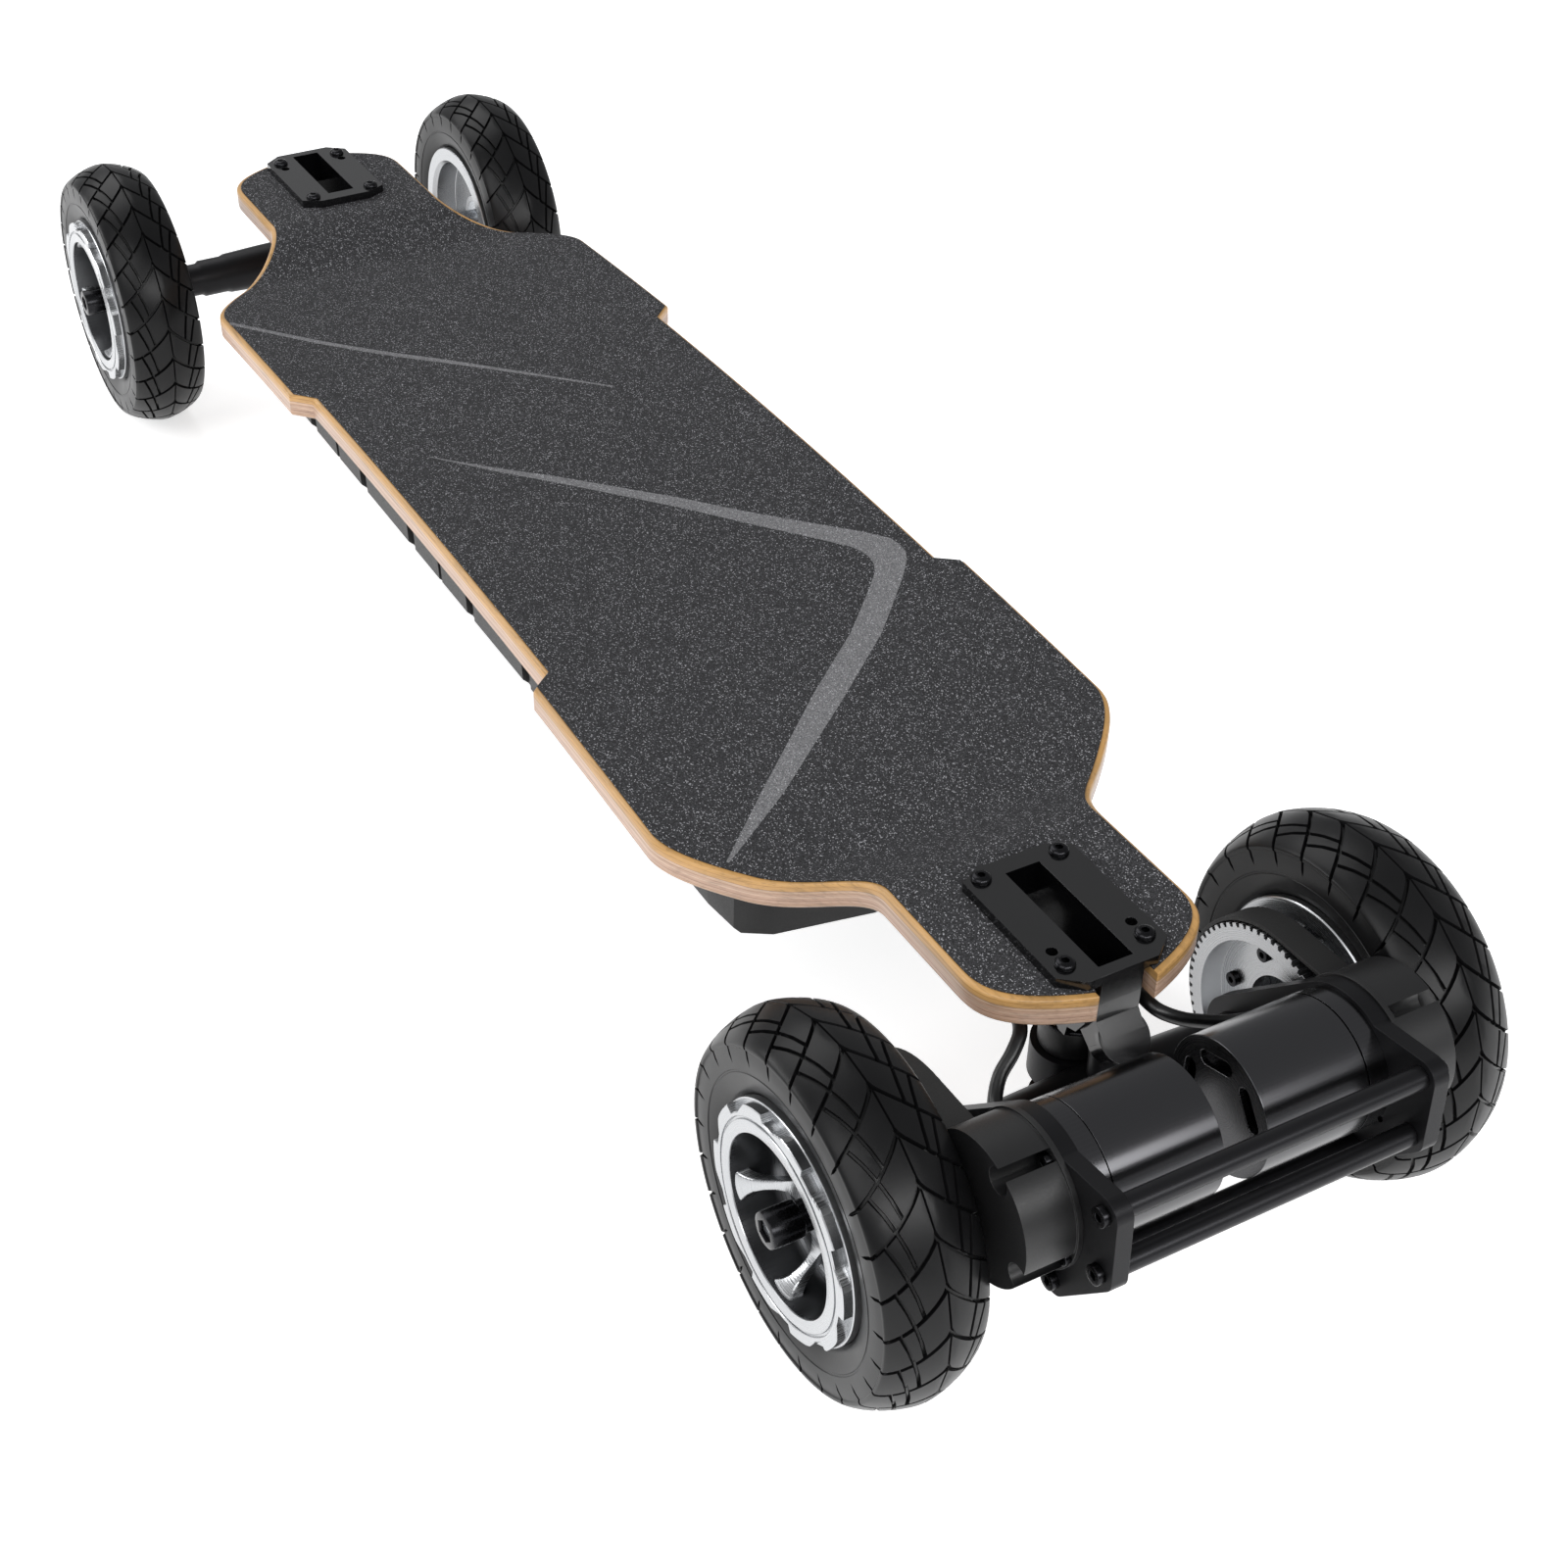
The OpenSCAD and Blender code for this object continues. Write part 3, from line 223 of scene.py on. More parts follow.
def tyreRubber(name):  # moulded rubber: near black, soft broad shine, mould grain
    material, tree, shader = startMaterial(name)
    place = add(tree, "ShaderNodeTexCoord").outputs["Object"]
    fine = add(tree, "ShaderNodeTexNoise", {"Vector": place, "Scale": 900.0, "Detail": 4.0}).outputs["Fac"]
    broad = add(tree, "ShaderNodeTexNoise", {"Vector": place, "Scale": 35.0, "Detail": 3.0}).outputs["Fac"]
    tone = ramp(tree, broad, [(0.3, "#0b0b0c"), (0.7, "#101011")])
    tree.links.new(tone.outputs["Color"], shader.inputs["Base Color"])
    rough = ramp(tree, broad, [(0.3, 0.3), (0.7, 0.38)])
    tree.links.new(rough.outputs["Color"], shader.inputs["Roughness"])
    shader.inputs["Specular IOR Level"].default_value = 0.22
    bumpFrom(tree, shader, fine, 0.2, 0.0001)
    return material


wheelPlaces = [(rearAxle.x, axleZ), (frontAxle.x, axleZ)]
motorAt = middleOf("left_rotor")
finishes = {
    "bamboo": plyWood("lacquered bamboo and maple ply"),
    "grip": gritSheet("black grit sheet", ("#1c1c1d", "#303032", "#434346"), "#a6a6aa", 0.08),
    "box_plastic": finish("moulded black ABS", "#101011", 0.0, 0.5, grainMm=0.9, grain=0.12, bump=0.00006),
    "cell_wrap": finish("blue shrink sleeve", "#274a78", 0.0, 0.3),
    "black_plastic": finish("black nylon", "#101011", 0.0, 0.42, grainMm=0.8),
    "button_plastic": finish("red ABS", "#8f1a18", 0.0, 0.3),
    "black_paint": finish("gloss black powder coat", "#050506", 0.0, 0.2, grainMm=3.0, grain=0.05, bump=0.00001,
                          coat=0.5),
    "black_anodised": finish("bead blasted black anodised aluminium", "#1c1c1e", 0.75, 0.42, grainMm=0.5),
    "motor_black": turned("satin black anodised can", ("#4c4c4e", "#58585a"), 0.24, 0.5,
                          [(motorAt.x, motorAt.z)],
                          metallic=1.0, depth=0.000004),
    "bare_aluminium": turned("turned aluminium", ("#a6a8aa", "#bebfc1"), 0.27, 0.9, wheelPlaces),
    "bright_steel": finish("zinc plated steel", "#b9bcc0", 1.0, 0.28, bump=0.00001),
    "black_steel": finish("black oxide steel", "#2a2a2c", 1.0, 0.25, grainMm=1.0, bump=0.00001),
    "rod_steel": finish("dark satin plated steel", "#2a2a2c", 0.85, 0.34, grainMm=0.7, bump=0.00001),
    "urethane": finish("cast urethane", "#151516", 0.0, 0.45, grainMm=2.0),
    "tyre_rubber": tyreRubber("moulded tyre rubber"),
    "belt_rubber": finish("neoprene belt", "#101010", 0.0, 0.6, grainMm=0.8),
    "cable_rubber": finish("PVC cable jacket", "#0b0b0c", 0.0, 0.34, grainMm=2.0),
}
stripeGrit = gritSheet("grey printed grit", ("#565658", "#707072", "#868688"), "#b2b2b5", 0.06)
# a darker copy of the turned rim metal: painted shade for the recessed bowl between the spokes
bowlPaintedShadeMetal = turned("turned aluminium in the shade of the rim", ("#4a4b4d", "#646567"), 0.3, 0.8, wheelPlaces)
lookOf = dict(slotOf, drive_screws="black_steel", kingpin_washers="black_steel", kingpin_nuts="black_steel")
print("materials made:", len(finishes))


# mesh helpers

# points in millimetres
def makePiece(name, points, faces, material, body=None, smoothAngle=35, replaced=()):
    mesh = bpy.data.meshes.new(name)
    mesh.from_pydata([(x / 1000, y / 1000, z / 1000) for x, y, z in points], [], faces)
    mesh.validate()
    piece = bpy.data.objects.new(name, mesh)
    bpy.context.scene.collection.objects.link(piece)
    mesh.materials.append(material)
    shadeSmooth(mesh, smoothAngle)
    finishPiece(piece, body, replaced)
    return piece


def finishPiece(piece, body, replaced):
    if body:
        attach(piece, body)
    if replaced:
        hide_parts(*replaced)


def shadeSmooth(mesh, angle):
    work = bmesh.new()
    work.from_mesh(mesh)
    bmesh.ops.remove_doubles(work, verts=work.verts, dist=0.000002)
    bmesh.ops.recalc_face_normals(work, faces=work.faces)
    for face in work.faces:
        face.smooth = True
    for edge in work.edges:
        if len(edge.link_faces) == 2:
            edge.smooth = edge.calc_face_angle(0) < math.radians(angle)
    work.to_mesh(mesh)
    work.free()


def applyModifiers(piece):
    bpy.context.view_layer.update()
    result = piece.evaluated_get(bpy.context.evaluated_depsgraph_get())
    mesh = bpy.data.meshes.new_from_object(result)
    piece.modifiers.clear()
    piece.data = mesh


# a copy of a CAD node with its sharp edges broken, as a maker would break them
def softened(node, width, segments=2, angle=38):
    piece = bpy.data.objects.new(node + "_body", nodes[node].data.copy())
    bpy.context.scene.collection.objects.link(piece)
    piece.data.materials.clear()
    piece.data.materials.append(finishes[lookOf[node]])
    work = bmesh.new()
    work.from_mesh(piece.data)
    bmesh.ops.remove_doubles(work, verts=work.verts, dist=0.00001)
    bmesh.ops.dissolve_limit(work, angle_limit=math.radians(0.6), verts=work.verts, edges=work.edges)
    work.to_mesh(piece.data)
    work.free()
    bevel = piece.modifiers.new("break edges", "BEVEL")
    bevel.width = width / 1000
    bevel.segments = segments
    bevel.limit_method = "ANGLE"
    bevel.angle_limit = math.radians(angle)
    bevel.use_clamp_overlap = True
    applyModifiers(piece)
    shadeSmooth(piece.data, 55)
    weighted = piece.modifiers.new("flat faces stay flat", "WEIGHTED_NORMAL")
    weighted.keep_sharp = True
    weighted.weight = 50
    applyModifiers(piece)
    finishPiece(piece, bodyOf[node], (node,))
    return piece


def between(table, value):  # linear reading of a table of (key, value), keys rising
    for (a, u), (b, v) in zip(table, table[1:]):
        if value <= b:
            return u + (v - u) * max(0, value - a) / (b - a)
    return table[-1][1]


# deck and grip sheet

deckBox = boxOf("deck")
deckHalf = (deckBox[1].x - deckBox[0].x) / 2
deckHalfWidth = deckBox[1].y
platformZ = deckBox[1].z
axleReach = (frontAxle.x - rearAxle.x) / 2
deckParts = {"stepDrop": 19.0, "camber": 11.0, "concave": 6.0, "flatHalf": 45.0, "concaveReach": 80.0,
             "rampStart": axleReach - 145, "neck": axleReach - 91, "shoulder": axleReach - 188,
             "waistLength": 324.0, "stepIn": 10.0, "waistHalf": 116.0, "noseHalf": 59.0,
             "cornerLength": 42.5, "prong": 1.5, "thickness": 14.0, "edgeRadius": 2.2, "slotHalf": 15.0,
             "slotReach": 78.0, "gripMargin": 2.5, "gripThickness": 1.0, "columns": 36}


def smoothStep(t):
    t = min(1, max(0, t))
    return t * t * (3 - 2 * t)


def deckTop(x, y):  # x from the middle of the deck
    d = deckParts
    climb = smoothStep((abs(x) - d["rampStart"]) / (d["neck"] - d["rampStart"]))
    arch = d["camber"] * (1 - (min(abs(x), d["rampStart"]) / d["rampStart"]) ** 2)
    lift = d["concave"] * min(1, max(0, (abs(y) - d["flatHalf"]) / d["concaveReach"])) ** 1.5
    return platformZ + (1 - climb) * (arch - d["stepDrop"] + lift)


def deckEdge(x):  # half-width of the deck
    d = deckParts
    a = abs(x)
    draw = (deckHalfWidth - d["noseHalf"]) * smoothStep((a - d["shoulder"]) / (d["neck"] - d["shoulder"]))
    notch = (deckHalfWidth - d["waistHalf"]) * min(1,
                                                   max(0,
                                                       (d["waistLength"] / 2 + d["stepIn"] - a) / d["stepIn"]))
    t = min(1, max(0, (a - deckHalf + d["cornerLength"]) / d["cornerLength"]))
    return deckHalfWidth - draw - notch - (d["noseHalf"] - d["slotHalf"] - d["prong"]) * t ** 3


def deckStations():
    d = deckParts
    sideStart = d["waistLength"] / 2 + d["stepIn"]
    cornerStart = deckHalf - d["cornerLength"]
    half = [i * d["waistLength"] / 40 for i in range(21)]
    half += [d["waistLength"] / 2 + d["stepIn"] * k / 3 for k in (1, 2, 3)]
    half += [sideStart + (d["shoulder"] - sideStart) * i / 16 for i in range(1, 17)]
    half += [d["shoulder"] + (cornerStart - d["shoulder"]) * i / 60 for i in range(1, 61)]
    half += [cornerStart + d["cornerLength"] * math.sin(math.pi / 2 * i / 20) for i in range(1, 21)]
    return [-x for x in reversed(half[1:])] + half


def deckSheet(name, above, thick, margin, radius, material):
    columns = deckParts["columns"]
    trim = (deckHalf - margin) / deckHalf
    bend = [math.radians(22.5 * k) for k in range(5)]
    points, faces = [], []
    stations = deckStations()
    for x in stations:
        half = deckEdge(x) - margin
        flat = half - radius
        loop = [(-flat + 2 * flat * i / columns, above) for i in range(columns + 1)]
        loop += [(flat + radius * math.sin(a), above - radius + radius * math.cos(a)) for a in bend[1:]]
        loop += [(flat + radius * math.cos(a), above - thick + radius - radius * math.sin(a)) for a in bend]
        loop += [(flat - 2 * flat * i / columns, above - thick) for i in range(1, columns + 1)]
        loop += [(-flat - radius * math.sin(a),
                  above - thick + radius - radius * math.cos(a)) for a in bend[1:]]
        loop += [(-flat - radius * math.cos(a), above - radius + radius * math.sin(a)) for a in bend[:-1]]
        points += [(midX + x * trim, y, deckTop(x * trim, y) + h) for y, h in loop]
        size = len(loop)
    for i in range(len(stations) - 1):
        for j in range(size):
            k = (j + 1) % size
            faces.append((i * size + j, i * size + k, (i + 1) * size + k, (i + 1) * size + j))
    last = (len(stations) - 1) * size
    faces.append(tuple(range(size)))
    faces.append(tuple(last + j for j in reversed(range(size))))
    piece = makePiece(name, points, faces, material)
    for end, axle in ((-1, rearAxle), (1, frontAxle)):
        cutSlot(piece, end, axle)
    shadeSmooth(piece.data, 35)
    return piece


def cutSlot(piece, end, axle):
    d = deckParts
    reach = d["slotReach"]
    sides = [axle.x - end * reach, axle.x + end * reach]
    corners = [(x, y, z) for x in sides for y in (-d["slotHalf"], d["slotHalf"]) for z in (platformZ - 60,
                                                                                           platformZ + 60)]
    tool = makePiece("slot cutter", corners, [(0, 1, 3, 2), (4, 6, 7, 5), (0, 4, 5, 1), (2, 3, 7, 6),
                                              (0, 2, 6, 4), (1, 5, 7, 3)],
                     finishes["grip"])
    cut = piece.modifiers.new("slot", "BOOLEAN")
    cut.object = tool
    cut.operation = "DIFFERENCE"
    cut.solver = "EXACT"
    applyModifiers(piece)
    bpy.data.objects.remove(tool)


def buildDeck():
    d = deckParts
    deck = deckSheet("deck_plies", 0, d["thickness"], 0, d["edgeRadius"], finishes["bamboo"])
    ply = deck.data.attributes.new("ply", "FLOAT", "POINT")
    for i, v in enumerate(deck.data.vertices):
        place = v.co * 1000
        ply.data[i].value = (deckTop(place.x - midX, place.y) - place.z) / d["thickness"]
    finishPiece(deck, "board", ("deck",))
    grip = deckSheet("grip_sheet", d["gripThickness"], d["gripThickness"], d["gripMargin"], 0.45,
                     finishes["grip"])
    finishPiece(grip, "board", ("grip_tape",))


# printed stripes: outlines as (x from the middle of the deck, y), one side then the other
stripeParts = {"lift": 0.05, "count": 40, "across": 4, "outlines": {
    "front": (((287, 124), (238, 80), (181, 25), (97, -50.5)),
              ((283, 125.5), (234, 83), (178, 28.5), (96, -49.5))),
    "long": (((66.6, 82.2), (17.3, 29.4), (-41.9, -27), (-94.4, -72.3), (-120, -94.5), (-134.1, -104),
              (-146, -105.5), (-155, -101)),
             ((65, 81.6), (11.4, 32.2), (-51.3, -22.1), (-105.9, -65.6), (-129, -82), (-138, -85.5),
              (-147, -85), (-155, -81))),
    "back": (((-155, -101), (-166, -92), (-202.8, -56), (-242, -9.1), (-290.8, 52.2), (-326, 101)),
             ((-155, -81), (-164, -73), (-195.2, -41.8), (-231.6, 1.6), (-283.1, 58.5), (-325, 102)))}}


def resample(line, count):  # evenly spaced points along a line
    lengths = [math.dist(a, b) for a, b in zip(line, line[1:])]
    result = []
    for i in range(count + 1):
        reach = sum(lengths) * i / count
        k = 0
        while k < len(lengths) - 1 and reach > lengths[k]:
            reach -= lengths[k]
            k += 1
        t = min(1, reach / lengths[k])
        result.append(tuple(p + (q - p) * t for p, q in zip(line[k], line[k + 1])))
    return result


def buildStripes():
    across = stripeParts["across"] + 1
    for name, outline in stripeParts["outlines"].items():
        sides = [resample(line, stripeParts["count"]) for line in outline]
        points, faces = [], []
        for a, b in zip(*sides):
            for k in range(across):
                x, y = (p + (q - p) * k / (across - 1) for p, q in zip(a, b))
                points.append((midX + x, y, deckTop(x, y) + deckParts["gripThickness"] + stripeParts["lift"]))
        for i in range(stripeParts["count"]):
            for k in range(across - 1):
                faces.append((i * across + k, (i + 1) * across + k, (i + 1) * across + k + 1,
                              i * across + k + 1))
        makePiece("grip_stripe_" + name, points, faces, stripeGrit, "board")


buildDeck()
buildStripes()
print("deck, grip sheet and stripes built")


# tyres

tyreParts = {"radius": axleZ, "halfWidth": 24.5, "crown": 10.0, "chevrons": 26, "columns": 6, "depth": 2.4,
             "wall": 0.4, "arm": 1.9, "rung": 1.8, "spine": 1.0, "spineDepth": 1.2, "phase": 0.1022}


# right half, from the middle of the tread round to the inside: (distance from the axle, sideways)
def tyreSection():
    r, w, c = tyreParts["radius"], tyreParts["halfWidth"], tyreParts["crown"]
    crown = [(r - c + c * math.cos(math.radians(a)) ** 1.43, w * math.sin(math.radians(a)) ** 1.35)
             for a in (0, 9, 16, 23, 30, 37, 44, 51, 58, 65, 71, 76, 81, 85)]
    wall = [(79.0, w), (77.9, w), (77.2, w - 0.55), (74, w - 0.15), (70, w - 0.1), (67.2, w - 0.3),
            (66.9, w - 0.7), (66.2, w - 0.75), (65.9, w - 0.45), (63, w - 0.95), (60, w - 1.8),
            (57.8, w - 2.6), (56.6, w - 3.3), (55.6, w - 4.5), (52, w - 5.7), (50.3, w - 6.3),
            (50.3, w - 15), (50.3, 0)]
    return crown + wall


def sectionReader():  # turns a distance along the section into (distance from the axle, sideways, normal)
    half = tyreSection()
    full = [(r, -v) for r, v in reversed(half[1:])] + half
    reach = [0]
    for a, b in zip(full, full[1:]):
        reach.append(reach[-1] + math.dist(a, b))
    middle = reach[len(half) - 1]
    reach = [s - middle for s in reach]

    def read(s):
        k = 0
        while k < len(full) - 2 and s > reach[k + 1]:
            k += 1
        t = min(1, max(0, (s - reach[k]) / (reach[k + 1] - reach[k])))
        (ra, va), (rb, vb) = full[k], full[k + 1]
        length = math.dist(full[k], full[k + 1])
        return ra + (rb - ra) * t, va + (vb - va) * t, (vb - va) / length, (ra - rb) / length
    return read, reach


def crownReach(v):  # distance along the section at a sideways place on the tread
    half = tyreSection()
    reach = 0
    for a, b in zip(half, half[1:]):
        if b[1] >= abs(v) or b[0] < 78:
            return math.copysign(reach + (abs(v) - a[1]) / max(0.01, b[1] - a[1]) * math.dist(a, b), v)
        reach += math.dist(a, b)


def grooveLines():  # lines of one chevron: along the tread and along the section, apex at 0, arms trailing
    p = tyreParts
    pitch = 2 * math.pi * p["radius"] / p["chevrons"]
    arm = [(0, 0), (1.2, 0.4), (3.2, 1.6), (7, 5), (10, 8), (13.4, 11.6), (16.5, 15.1), (19.6, 18.9),
           (22.3, 22.4), (23.9, 24.3)]
    arm = [(a, crownReach(v)) for a, v in arm]
    arm.append((arm[-1][0] + 1.0, arm[-1][1] + 6.5))
    whole = [(a, -s) for a, s in reversed(arm[1:])] + arm
    rung = [(20.6, crownReach(19.6)), (29, crownReach(16.6)), (38, crownReach(14)), (46, crownReach(12)),
            (54.4, crownReach(10.4))]
    return pitch, [(whole, p["arm"], p["depth"]), (rung, p["rung"], p["depth"] * 0.9),
                   ([(a, -s) for a, s in rung], p["rung"], p["depth"] * 0.9),
                   ([(pitch * k / 4, 0) for k in range(5)], p["spine"], p["spineDepth"])]


def lineDistance(point, line):
    best = 1e9
    for (ax, ay), (bx, by) in zip(line, line[1:]):
        dx, dy = bx - ax, by - ay
        t = min(1, max(0, ((point[0] - ax) * dx + (point[1] - ay) * dy) / (dx * dx + dy * dy)))
        best = min(best, math.hypot(point[0] - ax - t * dx, point[1] - ay - t * dy))
    return best


def offsetLoop(line, reach):  # closed outline at a distance round a line
    sides = []
    for i, (x, y) in enumerate(line):
        a, b = line[max(0, i - 1)], line[min(len(line) - 1, i + 1)]
        first = math.atan2(y - a[1], x - a[0]) if i else math.atan2(b[1] - y, b[0] - x)
        second = math.atan2(b[1] - y, b[0] - x) if i < len(line) - 1 else first
        turn = (second - first + math.pi) % (2 * math.pi) - math.pi
        way = first + turn / 2 + math.pi / 2
        sides.append((x, y, math.cos(way), math.sin(way), reach / math.cos(turn / 2)))
    return ([(x + c * r, y + s * r) for x, y, c, s, r in sides] +
            [(x - c * r, y - s * r) for x, y, c, s, r in reversed(sides)])


def buildTyreMesh():
    p = tyreParts
    read, rings = sectionReader()
    pitch, lines = grooveLines()
    shifts = range(-3, 2)
    points, edges = [], []

    def addEdge(a, b):
        if abs(b[0] - a[0]) > 1e-9:
            low, high = sorted(((0 - a[0]) / (b[0] - a[0]), (pitch - a[0]) / (b[0] - a[0])))
            low, high = max(0, low), min(1, high)
        else:
            low, high = (0, 1) if 0 <= a[0] <= pitch else (1, 0)
        if high - low > 1e-6:
            points.extend(Vector((a[0] + (b[0] - a[0]) * t, a[1] + (b[1] - a[1]) * t)) for t in (low, high))
            edges.append((len(points) - 2, len(points) - 1))

    for s in rings:
        for k in range(p["columns"]):
            addEdge((pitch * k / p["columns"], s), (pitch * (k + 1) / p["columns"], s))
    for line, width, _ in lines[:3]:
        for reach in (width / 2, width / 2 - p["wall"]):
            loop = offsetLoop(line, reach)
            for shift in shifts:
                moved = [(x + shift * pitch, y) for x, y in loop]
                for a, b in zip(moved, moved[1:] + moved[:1]):
                    addEdge(a, b)
    for y in (p["spine"] / 2, p["spine"] / 2 - 0.3, 0.3 - p["spine"] / 2, -p["spine"] / 2):
        addEdge((0, y), (pitch, y))
    made = mathutils.geometry.delaunay_2d_cdt(points, edges, [], 0, 0.0004)
    cell, triangles = made[0], made[2]
    depths = []
    for x, y in cell:
        deep = 0
        if abs(y) < 36:
            for line, width, depth in lines[:3]:
                near = min(lineDistance((x - shift * pitch, y), line) for shift in shifts)
                deep = max(deep, depth * min(1, max(0, (width / 2 - near) / p["wall"])))
            deep = max(deep, p["spineDepth"] * min(1, max(0, (p["spine"] / 2 - abs(y)) / 0.3)))
        depths.append(deep)
    placed, faces = [], []
    for i in range(p["chevrons"]):
        for (x, y), deep in zip(cell, depths):
            r, v, outR, outV = read(y)
            angle = p["phase"] + (x + i * pitch) / p["radius"]
            r -= deep * outR
            placed.append((r * math.cos(angle), v - deep * outV, r * math.sin(angle)))
        base = i * len(cell)
        faces += [tuple(base + k for k in triangle) for triangle in triangles]
    return placed, faces


tyrePoints, tyreFaces = buildTyreMesh()
for end, axle in (("front", frontAxle), ("rear", rearAxle)):
    for side in ("left", "right"):
        place = middleOf(f"{end}_{side}_tyre")
        points = [(x + axle.x, v + place.y, z + axleZ) for x, v, z in tyrePoints]
        makePiece(f"{end}_{side}_tread", points, tyreFaces, finishes["tyre_rubber"], f"{end}_{side}_wheel", 38,
                  (f"{end}_{side}_tyre",))
print("tyres built:", len(tyrePoints), "points each")


# rims

rimParts = {"lobes": 10, "lobeLow": 50.4, "lobeHigh": 54.3, "lobeBack": 24.8, "phase": 3.0, "spokes": 5,
            "firstSpoke": -20.0, "spokeThick": 6.0, "spokeRound": 1.0,
            "bowl": ((40.9, 27.6), (40.8, 9.5), (40.2, 6.5), (38.6, 4.3), (36.5, 3.1), (22, 2),
                     (19.2, 2.6), (18.1, 4.6), (18, 8.6)),
            "steps": (0, 0.03, 0.06, 0.14, 0.24, 0.34, 0.44, 0.52, 0.58, 0.64, 0.70, 0.76, 0.84, 0.92),
            "lobe": ((0, 0), (0.03, 1), (0.5, 0.93), (0.76, 0), (1, 0)),
            "top": ((16, 8.0), (19, 8.1), (22, 8.6), (26, 10), (30, 12.6), (34, 16.8), (37, 20.4),
                    (39, 23), (40.5, 25.4), (42, 27.4), (43, 27.9)),
            "half": ((16, 7.4), (19, 5.8), (22, 4.2), (26, 2.9), (30, 2.4), (34, 2.5), (37, 3.4),
                     (39, 4.9), (40.5, 7.2), (42, 10.6), (43, 12.2))}


def rimRing(lobe):  # section of the rim at a lobe or between two: (distance from the axle, sideways)
    p = rimParts
    reach = p["lobeLow"] + (p["lobeHigh"] - p["lobeLow"]) * lobe
    return [(14.1, -9), (17.6, -9), (18, -8.6), (20, -6), (43.6, -6), (44, -6.4), (44, -20.8), (46, -23.8),
            (54.4, -23.8), (55, -23.2), (55, -20), (50, -18.5), (47, -12.5), (47, 12.5), (50, 18.5),
            (55, 20), (55, 23.4), (54.6, 23.8), (reach + 0.1, p["lobeBack"] - 1), (reach, p["lobeBack"]),
            (reach, 28), (reach - 0.5, 28.5), (48.7, 28.5), (48.4, 28.2), (48.4, 27.4), (48.2, 27.2),
            (47.2, 27.2), (47, 27.4), (47, 28.2), (46.7, 28.5), (41.6, 28.5), (41.1, 28.2), *p["bowl"],
            (17.6, 9), (14.1, 9), (14.1, 1), (12.6, 1), (12.6, -1), (14.1, -1)]


def buildRimMesh():
    p = rimParts
    points, faces = [], []
    turns = [(i + s) / p["lobes"] for i in range(p["lobes"]) for s in p["steps"]]
    for turn in turns:
        angle = math.radians(p["phase"]) - 2 * math.pi * turn
        ring = rimRing(between(p["lobe"], turn * p["lobes"] % 1))
        points += [(r * math.cos(angle), v, r * math.sin(angle)) for r, v in ring]
        size = len(ring)
    for i in range(len(turns)):
        n = (i + 1) % len(turns)
        for j in range(size):
            k = (j + 1) % size
            faces.append((i * size + j, n * size + j, n * size + k, i * size + k))
    for i in range(p["spokes"]):
        addSpoke(points, faces, math.radians(p["firstSpoke"] - 360 / p["spokes"] * i))
    return points, faces


def addSpoke(points, faces, angle):  # a bar that follows the bowl from ring to hub, flared at both ends
    p = rimParts
    reaches = [16 + 27 * i / 26 for i in range(27)]
    start = len(points)
    soft, thick = p["spokeRound"], p["spokeThick"]
    for r in reaches:
        half, top = between(p["half"], r), between(p["top"], r)
        loop = [(-half + soft, top), (half - soft, top), (half - soft * 0.3, top - soft * 0.3),
                (half, top - soft),
                (half, top - thick), (-half, top - thick), (-half, top - soft), (-half + soft * 0.3,
                                                                                 top - soft * 0.3)]
        for side, v in loop:
            points.append((r * math.cos(angle) - side * math.sin(angle), v,
                           r * math.sin(angle) + side * math.cos(angle)))
    size = 8
    for i in range(len(reaches) - 1):
        for j in range(size):
            k = (j + 1) % size
            faces.append((start + i * size + j, start + (i + 1) * size + j, start + (i + 1) * size + k,
                          start + i * size + k))
    faces.append(tuple(start + j for j in range(size)))
    faces.append(tuple(start + (len(reaches) - 1) * size + j for j in reversed(range(size))))


def paintBowlShade(mesh, x, y, sign):  # the dished part between the spokes gets the darker metal as painted shade of the recess
    mesh.materials.append(bowlPaintedShadeMetal)
    for face in mesh.polygons:
        place = [(math.hypot(v.x * 1000 - x, v.z * 1000 - axleZ), (v.y * 1000 - y) * sign)
                 for v in (mesh.vertices[k].co for k in face.vertices)]
        onBowl = all(min(abs(r - a) + abs(v - b) for a, b in rimParts["bowl"]) < 0.05 for r, v in place)
        face.material_index = 1 if onBowl else 0


rimPoints, rimFaces = buildRimMesh()
for end, axle in (("front", frontAxle), ("rear", rearAxle)):
    for side, sign in (("left", 1), ("right", -1)):
        place = middleOf(f"{end}_{side}_tyre")
        points = [(x + axle.x, place.y + sign * v, z + axleZ) for x, v, z in rimPoints]
        rim = makePiece(f"{end}_{side}_turned_rim", points, rimFaces, finishes["bare_aluminium"],
                        f"{end}_{side}_wheel", 32,
                        (f"{end}_{side}_rim",))
        # the bowl between the spokes is given the darker metal as painted shade
        paintBowlShade(rim.data, axle.x, place.y, sign)
print("rims built")


# screws and axle nuts with hex sockets

def looseParts(node):  # each solid of a CAD node as a list of points, in millimetres
    work = bmesh.new()
    work.from_mesh(nodes[node].data)
    bmesh.ops.remove_doubles(work, verts=work.verts, dist=0.00001)
    seen, parts = set(), []
    for first in work.verts:
        if first in seen:
            continue
        seen.add(first)
        queue, part = [first], []
        while queue:
            corner = queue.pop()
            part.append(corner.co * 1000)
            for edge in corner.link_edges:
                other = edge.other_vert(corner)
                if other not in seen:
                    seen.add(other)
                    queue.append(other)
        parts.append(part)
    work.free()
    return parts


